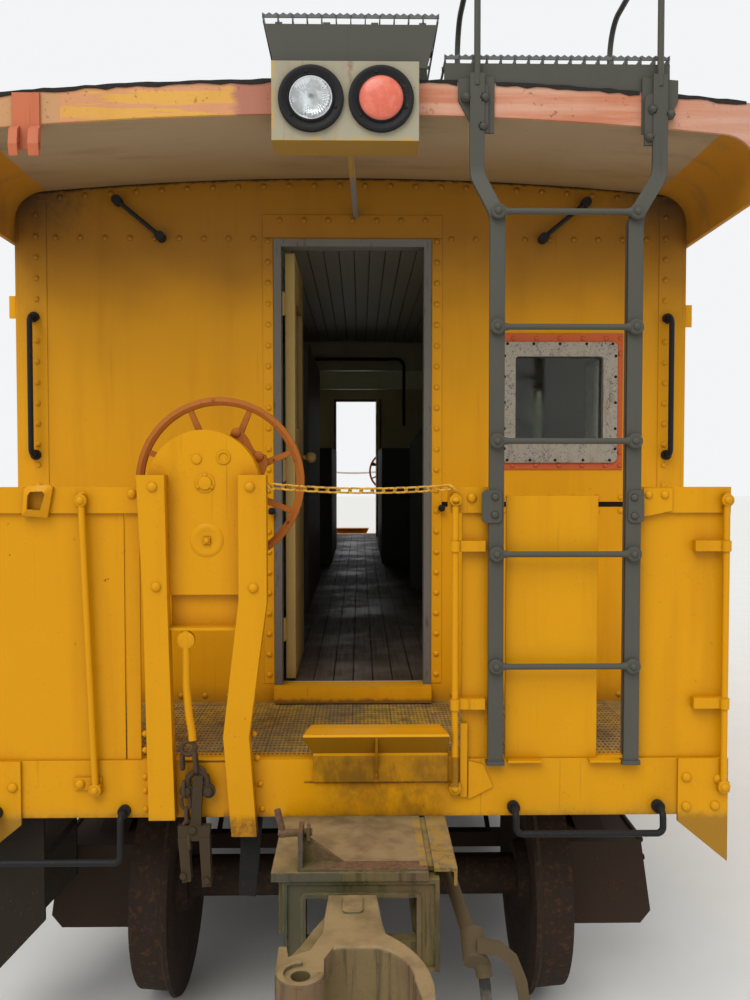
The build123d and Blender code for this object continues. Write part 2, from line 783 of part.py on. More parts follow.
export_step(ladders.part, "parts/ladders.step")

# Running boards on the roof, a long one from each end to the cupola and a cross walk by the ladder
walk_top = crown + 210
walk_half = 295.0
board = 30.0
saddle = 40.0
saddle_pitch = 1000.0
riser_foot = 255.0
cross_walk_x = (ladder_left - 167, ladder_right + 142)
cross_walk_length = 600.0
# rows: end of the car, distance from the car's middle to the cupola's wall
walks = [(-1, -cupola_start), (1, cupola_end)]
with BuildPart() as running_boards:
    for end, inner in walks:
        outer = -roof_y + 25
        y_span = sorted((end * outer, end * (inner + fit)))
        slab((-walk_half, walk_half), y_span, (walk_top - board, walk_top))
        riser = [
            (-riser_foot, crown + 27),
            (riser_foot, crown + 27),
            (walk_half, walk_top - board),
            (-walk_half, walk_top - board),
        ]
        across(riser, sorted((end * (outer - 10), end * outer)))
        count = int((outer - inner - 400) / saddle_pitch) + 1
        for index in range(count):
            y = end * (outer - 225 - index * saddle_pitch)
            slab((-walk_half, walk_half), (y - saddle / 2, y + saddle / 2), (crown - 60, walk_top - board))
        x_span = sorted((-end * cross_walk_x[0], -end * cross_walk_x[1]))
        y_span = sorted((end * (-roof_y + 2), end * (-roof_y - cross_walk_length)))
        slab(x_span, y_span, (crown + 60, crown + 60 + board))
        for back in (8, cross_walk_length / 2, cross_walk_length - 20):
            y = end * (-roof_y - back)
            slab(x_span, (y - 8, y + 8), (crown - 80, crown + 60))
    above_roof((roof_y, -roof_y))
running_boards.part.label = "running_boards"
export_step(running_boards.part, "parts/running_boards.step")

# Marker light boxes at the roof ends, with two round lights each
box_front = roof_y - 80
box_low = 3200.0
box_top = crown + 27
box_x = (-260.0, 225.0)
light_z = 3333.0
light_x = (-130.0, 100.0)
bezel_radius = 107.0
conduit_radius = 11.0
lens_radius = 73.0
with BuildPart() as light_box:
    outline = [
        (box_front, box_low),
        (box_front, box_top),
        (roof_y, box_top),
        (roof_y, soffit - 8),
        (roof_y + 67, soffit - 8),
        (roof_y + 67, box_low),
    ]
    along(outline, box_x)
    for x in light_x:
        barrel((x, box_front, light_z), (x, box_front - 12, light_z), bezel_radius)
        barrel((x, box_front - 12, light_z), (x, box_front + 30, light_z), lens_radius, Mode.SUBTRACT)
    barrel((-5, roof_y + 50, 3238), (14, wall_y - 1.7, 3164), conduit_radius)
light_boxes = at_both_ends(light_box.part)
light_boxes.part.label = "light_boxes"
export_step(light_boxes.part, "parts/light_boxes.step")

lens_rise = 22.0
lens_edge = lens_radius - fit
lens_back = 30 - fit
dome_radius = (lens_edge**2 + lens_rise**2) / (2 * lens_rise)
half_rise = dome_radius - sqrt(dome_radius**2 - (lens_edge / 2) ** 2)
with BuildPart() as lenses:
    for x in light_x:
        with BuildSketch(Plane(origin=(x, box_front, light_z), x_dir=(1, 0, 0), z_dir=(0, 0, 1))) as dome:
            with BuildLine():
                Line((0, lens_back), (lens_edge, lens_back))
                Line((lens_edge, lens_back), (lens_edge, -4))
                half_way = (lens_edge / 2, half_rise - lens_rise - 4)
                ThreePointArc((lens_edge, -4), half_way, (0, -lens_rise - 4))
                Line((0, -lens_rise - 4), (0, lens_back))
            make_face()
        revolve(dome.sketch, axis=Axis((x, box_front, light_z), (0, 1, 0)), revolution_arc=360)
lamp_lenses = at_both_ends(lenses.part)
lamp_lenses.part.label = "lamp_lenses"
export_step(lamp_lenses.part, "parts/lamp_lenses.step")

# Brackets for marker lamps, one with two prongs on the roof's end and one on each corner post
bracket_sheet = 8.0
corner_reach = 28.0
with BuildPart() as marker_bracket:
    slab((-1132, -1040), (roof_y - bracket_sheet, roof_y), (3190, 3378))
    # rows: x of the two edges of each prong
    for low, high in ((-1136, -1106), (-1072, -1036)):
        prong = [
            (roof_y - bracket_sheet, 3268),
            (roof_y - 30, 3250),
            (roof_y - 38, 3200),
            (roof_y - 30, 3162),
            (roof_y - 24, 3162),
            (roof_y - 28, 3204),
            (roof_y - bracket_sheet, 3222),
        ]
        along(prong, (low, high))
    # rows: side of the car, lowest point
    for side, foot in ((-1, 2742), (1, 2713)):
        x_span = sorted((side * half_width, side * (half_width + corner_reach)))
        slab(x_span, (wall_y + 6, wall_y + 14), (foot, foot + 91))
        slab(x_span, (wall_y + 6, wall_y + 44), (foot + 30, foot + 62))
marker_brackets = at_both_ends(marker_bracket.part)
marker_brackets.part.label = "marker_brackets"
export_step(marker_brackets.part, "parts/marker_brackets.step")

# Crossover step plates over the couplers, bent sheets with a rib
plate_x = (-159.0, 325.0)
plate_sheet = 10.0
plate_low = 1070.0
fold_z = 1169.0
lip_z = 1244.0
lip_reach = 56.0
lip_depth = 134.0
with BuildPart() as step_plate:
    outline = [
        (sill_y, plate_low),
        (sill_y - plate_sheet, plate_low),
        (sill_y - plate_sheet, fold_z),
        (sill_y - lip_reach, lip_z - 8),
        (sill_y - lip_reach + 4, lip_z),
        (sill_y - lip_reach + lip_depth, lip_z - 3),
        (sill_y - lip_reach + lip_depth, lip_z - plate_sheet),
        (sill_y - lip_reach + 14, lip_z - plate_sheet),
        (sill_y, fold_z + 4),
    ]
    along(outline, plate_x)
    rib = [
        (sill_y - plate_sheet, plate_low + 8),
        (sill_y - lip_reach + 2, lip_z - 16),
        (sill_y - lip_reach + 12, lip_z - 10),
        (sill_y - plate_sheet, fold_z + 4),
    ]
    along(rib, (80, 89))
    across([(-160, plate_low - 1), (-128, plate_low - 1), (-128, fold_z), (-160, lip_z - 14)],
           (sill_y - 60, sill_y + 1), Mode.SUBTRACT)
    with BuildSketch(Plane(origin=(0, sill_y, lip_z - 14), x_dir=(1, 0, 0), z_dir=(0, 0, 1))) as corners:
        for edge, inward in ((plate_x[0], 1), (plate_x[1], -1)):
            with BuildLine():
                Polyline((edge, -lip_reach), (edge, lip_depth), (edge + inward * 30, lip_depth), close=True)
            make_face()
    extrude(corners.sketch, amount=20, mode=Mode.SUBTRACT)
crossover_plates = at_both_ends(step_plate.part)
crossover_plates.part.label = "crossover_plates"
export_step(crossover_plates.part, "parts/crossover_plates.step")

# Safety chains across the platform's opening
chain_y = sill_y - 24
chain_z = flange_depth + 2040
with BuildPart() as chain:
    route = [
        (-277 + fit, chain_y, chain_z),
        (35, chain_y + 6, chain_z - 14),
        (347 - stay_radius - fit, stay_y, chain_z),
    ]
    rod(route, 6, 500)
safety_chains = at_both_ends(chain.part)
safety_chains.part.label = "safety_chains"
export_step(safety_chains.part, "parts/safety_chains.step")

# Draft pockets, an upside-down trough behind a striker with a square mouth
coupler_z = flange_depth + coupler_over_rail
shank_half = 65.0
mouth_low = coupler_z - shank_half - fit
mouth_top = coupler_z + 72.0
striker_depth = 60.0
striker_low = 650.0
cover = 26.0
rim = 8.0
hanger_y = striker_y + 42.0
with BuildPart() as draft:
    half = striker_width / 2
    mouth = striker_opening / 2
    outline = [
        (striker_x - half, striker_low),
        (striker_x - half, sill_bottom - cover),
        (striker_x + half, sill_bottom - cover),
        (striker_x + half, striker_low),
        (striker_x + mouth, striker_low),
        (striker_x + mouth, mouth_top),
        (striker_x - mouth, mouth_top),
        (striker_x - mouth, striker_low),
    ]
    with BuildSketch(Plane.XZ.offset(-striker_y - striker_depth)) as casting:
        with BuildLine():
            Polyline(*outline, close=True)
        make_face()
        inner = [point for point in casting.vertices() if abs(point.X - striker_x) < mouth + 1]
        fillet([point for point in inner if point.Z > striker_low + 1], radius=30)
    extrude(casting.sketch, amount=striker_depth)
    with BuildSketch(Plane.XZ.offset(-striker_y)) as lip:
        add(casting.sketch.translate((0, -striker_depth, 0)))
        offset(amount=-13, mode=Mode.SUBTRACT)
    extrude(lip.sketch, amount=rim)
    carrier = (mouth_low - 45, mouth_low)
    slab((striker_x - half, striker_x + half), (striker_y + 6, striker_y + striker_depth - 6), carrier)
    slab((-half, half), (striker_y - 16, flange_y), (sill_bottom - cover, sill_bottom))
    for side in (-1, 1):
        low, high = sorted((side * (half - 16), side * (half - 42)))
        slab((low, high), (striker_y + striker_depth, flange_y), (mouth_low, sill_bottom - cover))
    # Angle on the right edge of the cover, and the strip along the cover's front
    slab((half + 18, half + 87), (striker_y + 14, flange_y), (sill_bottom - 12, sill_bottom))
    slab((half + 77, half + 87), (striker_y + 14, flange_y), (sill_bottom - 55, sill_bottom - 12))
    slab((half, half + 18), (striker_y + 40, flange_y), (sill_bottom - 20, sill_bottom - 6))
    slab((-150, 228), (striker_y - 10, striker_y + 42), (sill_bottom, sill_bottom + 9))
    # Bracket that carries a clevis
    slab((-152, -138), (striker_y - 4, striker_y + 88), (sill_bottom, sill_bottom + 112))
    gusset = [(-140, sill_bottom + 5), (-14, sill_bottom + 5), (-140, sill_bottom + 96)]
    across(gusset, (hanger_y - 5, hanger_y + 5))
    clevis = [
        (-196, hanger_y, sill_bottom + 84),
        (-222, hanger_y, sill_bottom + 194),
        (-166, hanger_y, sill_bottom + 200),
        (-158, hanger_y, sill_bottom + 84),
    ]
    rod(clevis, 10, 26)
    barrel((-212, hanger_y, sill_bottom + 94), (-112, hanger_y, sill_bottom + 98), 11)
    slab((-128, -118), (hanger_y - 19, hanger_y + 19), (sill_bottom + 78, sill_bottom + 116))
draft_pockets = at_both_ends(draft.part)
draft_pockets.part.label = "draft_pockets"
export_step(draft_pockets.part, "parts/draft_pockets.step")

# Couplers, a shank and an open head whose knuckle is missing, drawn from above
head_low = coupler_z - 140
head_top = coupler_z + 105
head_edge = 9.0
lug_gap = (head_low + 60, head_top - 60)
lug_x, lug_y = -114.0, -471.0
upper_arm = [
    (-66, -262),
    (-97, -353),
    (-150, -385),
    (-158, -335),
    (-178, -335),
    (-176, -470),
    (-58, -470),
    (-60, -395),
    (-30, -318),
    (-30, -262),
]
lower_arm = [
    (-66, -240),
    (-130, -290),
    (-188, -360),
    (-200, -470),
    (-60, -470),
    (-60, -395),
    (-30, -318),
    (-30, -240),
]
pin_hole = 24.0


def seen_from_above(z):
    """A level plane with its origin over the striker's face."""
    return Plane(origin=(0, striker_y, z), x_dir=(1, 0, 0), z_dir=(0, 0, 1))


with BuildPart() as coupler_body:
    with BuildSketch(seen_from_above(head_low)) as head:
        with BuildLine():
            Polyline((-63, -382), (-72, -330), (-69, -200), (-62, -50), (78, -50), (89, -202), (98, -266))
            ThreePointArc((98, -266), (184, -395), (206, -543))
            Polyline((206, -543), (204, -600), (192, -612), (178, -600), (159, -484))
            ThreePointArc((159, -484), (129, -385), (75, -341))
            Line((75, -341), (-17, -339))
            ThreePointArc((-17, -339), (-47, -353), (-63, -382))
        make_face()
    extrude(head.sketch, amount=head_top - head_low)
    fillet(coupler_body.faces().sort_by(Axis.Z)[-1].outer_wire().edges(), radius=head_edge)
    slab((-60, 60), (flange_y, striker_y - 52), (coupler_z - shank_half, coupler_z + shank_half))
    with BuildSketch(seen_from_above(head_top - 10)) as boss:
        with Locations((9, -116)):
            RectangleRounded(56, 100, 14)
    extrude(boss.sketch, amount=15)
    with BuildSketch(seen_from_above(lug_gap[0])) as web:
        with BuildLine():
            flare = [(-60, -80), (-100, -180), (-128, -262), (-160, -330), (-70, -345), (-60, -345)]
            Polyline(*flare, close=True)
        make_face()
    extrude(web.sketch, amount=lug_gap[1] - lug_gap[0] + 20)
    # rows: lowest level, thickness, radius about the pin, outline of the arm that carries it
    lugs = [
        (lug_gap[1], 60, 58, upper_arm),
        (head_low, 60, 84, lower_arm),
    ]
    for level, thick, radius, outline in lugs:
        with BuildSketch(seen_from_above(level)) as lug:
            with BuildLine():
                Polyline(*outline, close=True)
            make_face()
            with Locations((lug_x, lug_y)):
                Circle(radius)
        extrude(lug.sketch, amount=thick)
    with BuildSketch(seen_from_above(head_top - 5)) as ring:
        with Locations((lug_x, lug_y)):
            Circle(57)
            Circle(41, mode=Mode.SUBTRACT)
        with Locations((lug_x + 45, lug_y + 45)):
            Rectangle(90, 90, mode=Mode.SUBTRACT)
    extrude(ring.sketch, amount=14)
    pin_y = striker_y + lug_y
    barrel((lug_x, pin_y, head_low), (lug_x, pin_y, head_top + 10), pin_hole, Mode.SUBTRACT)
couplers = at_both_ends(coupler_body.part)
couplers.part.label = "couplers"
export_step(couplers.part, "parts/couplers.step")

# Grab irons on the end walls and under the end sills, round bars with ball feet
iron = 11.0
foot = 21.0
wall_iron_x = inner_x - 8
with BuildPart() as irons:
    for side in (-1, 1):
        x = side * wall_iron_x
        off = wall_y - 62
        rod([(x, wall_y, 2745), (x, off, 2745), (x, off, 2180), (x, wall_y, 2180)], iron, 28)
        for height in (2745, 2180):
            barrel((x, wall_y, height), (x, wall_y - 16, height), foot)
        start = (side * (half_width - 426.5), wall_y - 34, 3215)
        stop = (side * (half_width - 601.5), wall_y - 34, 3070)
        barrel(start, stop, 9)
        for point in (start, stop):
            barrel((point[0], wall_y, point[2]), (point[0], wall_y - 46, point[2]), 19)
    low_y = sill_y - 60
    iron_left = ladder_left + 65
    iron_right = ladder_right + 99
    rod([(iron_left, sill_y, 982), (iron_left, low_y, 982), (iron_left, low_y - 4, 912),
         (iron_right, low_y - 4, 912), (iron_right, low_y, 982), (iron_right, sill_y, 982)], iron, 22)
    left_end = -sill_half + 90
    rod([(left_end, sill_y - corner_plate, 975), (left_end, low_y, 975), (left_end, low_y - 4, 825),
         (-760, low_y - 4, 825), (-760, low_y, 975), (-760, sill_y, 975)], iron, 22)
    for x in (iron_left, iron_right):
        barrel((x, sill_y, 982), (x, sill_y - 20, 982), foot)
    barrel((left_end, sill_y - corner_plate, 975), (left_end, sill_y - 30, 975), foot)
    barrel((-760, sill_y, 975), (-760, sill_y - 20, 975), foot)
grab_irons = at_both_ends(irons.part)
grab_irons.part.label = "grab_irons"
export_step(grab_irons.part, "parts/grab_irons.step")

# Side steps, two hung plates with two treads, at every corner but the front right one
tread = 30.0
upper_tread = 760.0
lower_tread = 400.0
step_front = (flange_y, flange_y + 12)
step_back = (well_back - 12, well_back)
# rows: side of the car, end of the car
step_corners = [(-1, 1), (1, -1), (-1, -1)]
with BuildPart() as side_steps:
    for side, end in step_corners:
        outline = [
            (side * stringer_x, frame_top),
            (side * stringer_x, 560),
            (side * (stringer_x + 170), 380),
            (side * half_width, 380),
            (side * half_width, 700),
            (side * sill_half, 951),
            (side * sill_half, frame_top),
        ]
        for low, high in (step_front, step_back):
            across(outline, sorted((end * low, end * high)))
        span = sorted((end * step_front[1], end * step_back[0]))
        x_span = sorted((side * (stringer_x + 2), side * (sill_half + 20)))
        slab(x_span, span, (upper_tread, upper_tread + tread))
        x_span = sorted((side * (stringer_x + 150), side * half_width))
        slab(x_span, span, (lower_tread, lower_tread + tread))
side_steps.part.label = "side_steps"
export_step(side_steps.part, "parts/side_steps.step")

# Train pipes with an angle cock, and the hoses that hang from them
pipe_radius = 21.0
pipe_x = 300.0
cock = (368.0, sill_y - 373, 692.0)
nozzle = (398.0, sill_y - 385, 615.0)
below_nozzle = (404.0, sill_y - 400, 560.0)
hose_start = (Vector(*below_nozzle) - Vector(*nozzle)).normalized()
elbow = tuple(Vector(*nozzle) - hose_start * 26)
with BuildPart() as train_pipe:
    rod([(pipe_x, sill_y + 500, 850), (pipe_x, sill_y - 60, 850), cock], pipe_radius, 120)
    barrel((cock[0], cock[1] + 40, cock[2] + 32), (cock[0], cock[1] - 36, cock[2] - 20), 36)
    barrel(cock, elbow, 26)
    ball(elbow, 26)
    barrel(elbow, nozzle, 24)
    slab((pipe_x - 24, pipe_x + 24), (sill_y + 2, sill_y + 14), (850, sill_bottom - 55))
    handle = [
        (372, 742),
        (440, 735),
        (492, 690),
        (520, 620),
        (530, 540),
        (500, 540),
        (488, 615),
        (462, 672),
        (425, 700),
        (372, 705),
    ]
    across(handle, (cock[1] - 52, cock[1] - 30))
train_pipes = at_both_ends(train_pipe.part)
train_pipes.part.label = "train_pipes"
export_step(train_pipes.part, "parts/train_pipes.step")

hose_diameter = 35.0
hose_route = [
    nozzle,
    below_nozzle,
    (405.0, sill_y - 411, 490.0),
    (398.0, sill_y - 416, 418.0),
    (388.0, sill_y - 412, 346.0),
    (381.0, sill_y - 400, 276.0),
    (378.0, sill_y - 382, 208.0),
]


def bend_radii(route):
    """Arc radii that take 0.45 of the shorter run at each corner of a route."""
    radii = []
    for before, here, after in zip(route, route[1:], route[2:]):
        first = Vector(*here) - Vector(*before)
        second = Vector(*after) - Vector(*here)
        half_turn = radians(first.get_angle(second)) / 2
        shorter = min(first.length, second.length)
        radii.append(0.45 * shorter * cos(half_turn) / sin(half_turn))
    return radii


hose_radii = bend_radii(hose_route)
print("hose radii", [round(radius) for radius in hose_radii])
with BuildPart() as hose:
    with BuildLine() as hose_path:
        FilletPolyline(*hose_route, radius=hose_radii)
    with BuildSketch(Plane(origin=hose_path.line @ 0, z_dir=hose_path.line % 0)) as hose_face:
        Circle(hose_diameter / 2)
    sweep(hose_face.sketch, path=hose_path.line)
print("hose length", round(hose_path.wires()[0].length))
save(hose.part, "front_brake_hose")
save(rear(hose.part), "rear_brake_hose")

hose_end = hose_path.line @ 1
hose_way = hose_path.line % 1
with BuildPart() as coupling:
    tip = hose_end + hose_way * 70
    barrel(tuple(hose_end), tuple(tip), 22)
    with BuildSketch(Plane(origin=tip, x_dir=(1, 0, 0), z_dir=hose_way)) as head_face:
        Rectangle(48, 78)
    extrude(head_face.sketch, amount=42)
hose_couplings = at_both_ends(coupling.part)
hose_couplings.part.label = "hose_couplings"
export_step(hose_couplings.part, "parts/hose_couplings.step")

# Straps that hang from the end sills beside the draft pockets
with BuildPart() as strap:
    across([(-372, sill_bottom), (-300, sill_bottom), (-312, 800), (-326, 670), (-384, 676), (-378, 800)],
           (sill_y + 18, sill_y + 30))
hanger_straps = at_both_ends(strap.part)
hanger_straps.part.label = "hanger_straps"
export_step(hanger_straps.part, "parts/hanger_straps.step")

# Air reservoir and battery box under the floor
with BuildPart() as air_reservoir:
    barrel((-750, -700, 700), (-750, 700, 700), 200)
    for y in (-467, 467):
        slab((-770, -730), (y - 20, y + 20), (880, bearer_low))
air_reservoir.part.label = "air_reservoir"
export_step(air_reservoir.part, "parts/air_reservoir.step")

with BuildPart() as battery_box:
    slab((inner_x - 616.5, inner_x - 136.5), (-600, 600), (600, bearer_low))
battery_box.part.label = "battery_box"
export_step(battery_box.part, "parts/battery_box.step")

# Smoke jack of the stove
jack_x, jack_y = -800.0, -2900.0
with BuildPart() as smoke_jack:
    barrel((jack_x, jack_y, crown - 60), (jack_x, jack_y, crown + 560), 75)
    barrel((jack_x, jack_y, crown - 60), (jack_x, jack_y, crown + 20), 150)
    with BuildSketch(Plane.XY.offset(crown + 520)) as brim_low:
        with Locations((jack_x, jack_y)):
            Circle(150)
    with BuildSketch(Plane.XY.offset(crown + 620)) as brim_high:
        with Locations((jack_x, jack_y)):
            Circle(60)
    loft([brim_low.sketch, brim_high.sketch])
    above_roof((jack_y - 200, jack_y + 200))
smoke_jack.part.label = "smoke_jack"
export_step(smoke_jack.part, "parts/smoke_jack.step")

# Truck frames, two cast sides with journal boxes, tied by two transoms
box_in = wheel_gauge / 2 + wheel_width + 27
box_out = box_in + journal_box_width
side_x = journal_spread / 2
half_base = wheelbase / 2
box_half = journal_box_length / 2
spring_low = 262.0
spring_top = 560.0
with BuildPart() as truck_frame:
    for side in (-1, 1):
        web_span = sorted((side * (side_x - frame_web / 2), side * (side_x + frame_web / 2)))
        outline = [
            (-half_base - box_half, 330),
            (-half_base - box_half, 600),
            (-half_base + box_half, 690),
            (-420, 770),
            (420, 770),
            (half_base - box_half, 690),
            (half_base + box_half, 600),
            (half_base + box_half, 330),
            (half_base - box_half, 330),
            (520, 200),
            (-520, 200),
            (-half_base + box_half, 330),
        ]
        along([(truck_y + y, z) for y, z in outline], web_span)
        slab(web_span, (truck_y - 235, truck_y + 235), (spring_low, 705), Mode.SUBTRACT)
        for end in (-1, 1):
            gap = [(330, 330), (330, 640), (900, 590), (960, 420)]
            along([(truck_y + end * y, z) for y, z in gap], web_span, Mode.SUBTRACT)
            middle = truck_y + end * half_base
            lid = [
                (side * box_in, axle_z - 140),
                (side * box_in, axle_z + 190),
                (side * (box_out - 40), axle_z + 190),
                (side * box_out, axle_z - 90),
                (side * (box_out - 40), axle_z - 140),
            ]
            across(lid, (middle - box_half, middle + box_half))
            inner_end = (side * (box_in - 1), middle, axle_z)
            outer_end = (side * (box_out - 60), middle, axle_z)
            barrel(inner_end, outer_end, journal_radius + fit, Mode.SUBTRACT)
    for end in (-1, 1):
        low, high = sorted((truck_y + end * 235, truck_y + end * 300))
        slab((-side_x + frame_web / 2, side_x - frame_web / 2), (low, high), (580, 690))

# Truck bolster with its centre bowl, resting on elliptic leaf springs in the side frames
bolster_half = 165.0
with BuildPart() as bolster:
    slab((-side_x - 70, side_x + 70), (truck_y - bolster_half, truck_y + bolster_half), (spring_top, 700))
    slab((-300, 300), (truck_y - bolster_half, truck_y + bolster_half), (700, 760))
    barrel((0, truck_y, 700), (0, truck_y, 784), centre_plate_radius + 34)
    barrel((0, truck_y, 760), (0, truck_y, 784), centre_plate_radius + 2, Mode.SUBTRACT)

with BuildPart() as springs:
    for side in (-1, 1):
        middle = (spring_low + spring_top) / 2
        rise = (spring_top - spring_low) / 2
        with BuildSketch(Plane.YZ.offset(side * side_x - 110)) as leaf:
            # rows: reach each way from the middle, rise, how the shape counts
            for reach, high, mode in ((215, rise, Mode.ADD), (150, rise - 55, Mode.SUBTRACT)):
                with BuildLine():
                    tips = ((truck_y - reach, middle), (truck_y + reach, middle))
                    ThreePointArc(tips[0], (truck_y, middle + high), tips[1])
                    ThreePointArc(tips[1], (truck_y, middle - high), tips[0])
                make_face(mode=mode)
        extrude(leaf.sketch, amount=220)

# Brake beams, hung from the transoms, with a shoe at each wheel
shoe_gap = 8.0
with BuildPart() as brake_beams:
    for end in (-1, 1):
        beam_y = truck_y + end * 650
        slab((-805, 805), (beam_y - 30, beam_y + 30), (330, 400))
        for side in (-1, 1):
            x_span = sorted((side * 715, side * 805))
            with BuildSketch(Plane.YZ.offset(x_span[0])) as shoe:
                with BuildLine():
                    reach = axle_over_rail + shoe_gap
                    centre_y = truck_y + end * half_base
                    inner_arc = []
                    outer_arc = []
                    for angle in (-22, -4, 14):
                        turn = radians(angle - 4)
                        inner_arc.append((centre_y - end * reach * cos(turn), axle_z + reach * sin(turn)))
                        far = reach + 120
                        outer_arc.append((centre_y - end * far * cos(turn), axle_z + far * sin(turn)))
                    ThreePointArc(*inner_arc)
                    Line(inner_arc[-1], outer_arc[-1])
                    ThreePointArc(*reversed(outer_arc))
                    Line(outer_arc[0], inner_arc[0])
                make_face()
            extrude(shoe.sketch, amount=90)
            hanger_x = side * 640
            low, high = sorted((beam_y - end * 370, beam_y + end * 10))
            along([(truck_y + end * 240, 580), (truck_y + end * 296, 580),
                   (beam_y + end * 20, 400), (beam_y - end * 20, 400)], (hanger_x - 10, hanger_x + 10))

# Wheelsets, an axle with two flanged wheels
tread_radius = axle_over_rail
flange_radius = axle_over_rail + flange_depth
axle_radius = 80.0
hub = 125.0
back = wheel_gauge / 2
front = back + wheel_width
with BuildPart() as wheelset:
    axle_y = truck_y - half_base
    profile = [
        (0, 0),
        (0, axle_radius),
        (back - 15, axle_radius),
        (back - 15, hub),
        (back + 30, hub + 20),
        (back, tread_radius - 60),
        (back, flange_radius - 6),
        (back + 14, flange_radius),
        (back + flange_width, tread_radius + 3),
        (front, tread_radius - 6),
        (front, tread_radius - 60),
        (back + 75, hub + 40),
        (front + 5, hub),
        (front + 5, journal_radius),
        (box_out - 80, journal_radius),
        (box_out - 80, 0),
    ]
    with BuildSketch(Plane(origin=(0, axle_y, axle_z), x_dir=(1, 0, 0), z_dir=(0, -1, 0))) as half:
        with BuildLine():
            Polyline(*profile, close=True)
        make_face()
        mirror(about=Plane.YZ)
    revolve(half.sketch, axis=Axis((0, axle_y, axle_z), (1, 0, 0)), revolution_arc=360)
with BuildPart() as inner_wheelset:
    add(wheelset.part)
inner_set = inner_wheelset.part.translate((0, wheelbase, 0))

# rows: name of the piece, the front truck's solid
truck_pieces = [
    ("frame", truck_frame.part),
    ("bolster", bolster.part),
    ("springs", springs.part),
    ("brake_beams", brake_beams.part),
    ("outer_wheelset", wheelset.part),
    ("inner_wheelset", inner_set),
]
for name, piece in truck_pieces:
    save(piece, f"front_truck_{name}")
    save(rear(piece), f"rear_truck_{name}")
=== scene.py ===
"""Paint, rivets and small fittings of a weathered steel caboose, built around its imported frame."""

import math
import random

import bpy
from bpy.props import FloatProperty, FloatVectorProperty, IntProperty, PointerProperty
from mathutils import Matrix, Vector


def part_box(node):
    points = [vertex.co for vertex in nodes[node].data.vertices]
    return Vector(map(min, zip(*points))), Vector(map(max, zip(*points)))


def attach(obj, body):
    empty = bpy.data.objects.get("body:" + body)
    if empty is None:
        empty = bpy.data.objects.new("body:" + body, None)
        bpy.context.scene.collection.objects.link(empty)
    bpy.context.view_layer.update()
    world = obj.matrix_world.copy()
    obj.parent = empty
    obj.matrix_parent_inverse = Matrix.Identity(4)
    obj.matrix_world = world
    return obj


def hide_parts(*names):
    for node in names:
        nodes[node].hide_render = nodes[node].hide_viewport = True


bl_info = {
    "name": "Caboose Finish",
    "version": (1, 0, 0),
    "blender": (4, 5, 0),
    "location": "3D View > Sidebar > Caboose",
    "description": "Paint, rivets, chains, gratings and small fittings of a weathered caboose",
    "category": "Add Mesh",
}

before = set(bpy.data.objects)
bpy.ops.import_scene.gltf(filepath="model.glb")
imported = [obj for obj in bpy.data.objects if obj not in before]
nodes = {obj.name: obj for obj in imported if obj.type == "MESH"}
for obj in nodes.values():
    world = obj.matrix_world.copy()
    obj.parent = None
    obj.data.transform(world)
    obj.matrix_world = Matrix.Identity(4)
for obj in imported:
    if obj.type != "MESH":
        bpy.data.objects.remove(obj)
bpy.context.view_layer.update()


def low(node):
    """The lowest corner of a CAD node."""
    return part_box(node)[0]


def high(node):
    """The highest corner of a CAD node."""
    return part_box(node)[1]


# Planes and levels in metres; pieces are drawn for the front end, at -y
WALL_SHEET = 0.004
WALL_Y = low("front_end_wall").y + WALL_SHEET
INNER_Y = high("front_end_wall").y
SIDE_X = high("right_side_wall").x
INNER_X = low("right_side_wall").x
CORNER_PLATE = 0.010
SILL_Y = low("end_sills").y + CORNER_PLATE
SILL_HALF = high("end_sills").x
DECK_TOP = high("platform_decks").z
FLOOR_TOP = high("interior_floor").z
ROOF_Y = low("roof").y
CROWN = high("roof").z
ROOF_THICKNESS = 0.112
ROOF_RADIUS = 13.4
SOFFIT = CROWN - ROOF_THICKNESS
CUPOLA_START = low("cupola_end_walls").y
CUPOLA_END = high("cupola_end_walls").y
POST_Y = low("brake_stands").y
RAIL_Y = SILL_Y - 0.004
FRAME_Y = low("window_frames").y
LADDER = (0.482, 0.938)
LAMPS = (-0.130, 0.100)
LAMP_Z = 3.333
LAMP_RING = 0.1075
LIGHT_BOX_Z = 3.3285
BELT_ROWS = (2.002, 1.946)
RUNG_START = 1.465
RUNG_PITCH = 0.3745
HALF_WHEELBASE = 1.219
OUTWARD = (0, -1, 0)
# The photo's camera: place, degrees that it looks down and to the left, and focal length
CAMERA_PLACE = (0.030, -8.223, 2.125)
CAMERA_DOWN = 2.01
CAMERA_LEFT = -0.943
CAMERA_LENS = 32.8
# x and z of the middle, width and height of the end window's opening and of the plate round it
WINDOW = (0.859, 2.413, 0.416, 0.401)
WINDOW_PAD = (0.859, 2.401, 0.531, 0.565)


def arched(level, x):
    """Height of the roof across the car, for a surface that is at the level on the middle line."""
    return level - ROOF_RADIUS + math.sqrt(ROOF_RADIUS ** 2 - x ** 2)


def linear(code):
    """A colour written as six hex digits, as the shader's own numbers."""
    parts = [int(code[place:place + 2], 16) / 255 for place in (0, 2, 4)]
    return tuple(part / 12.92 if part <= 0.04045 else ((part + 0.055) / 1.055) ** 2.4 for part in parts)


def tint(name, description, code):
    """A colour property with its default."""
    return FloatVectorProperty(name=name, description=description, subtype="COLOR", size=3, min=0.0,
                               max=1.0, default=linear(code))


def length(name, description, default):
    """A length property with its default, in metres."""
    return FloatProperty(name=name, description=description, unit="LENGTH", min=0.0001, default=default,
                         precision=4)


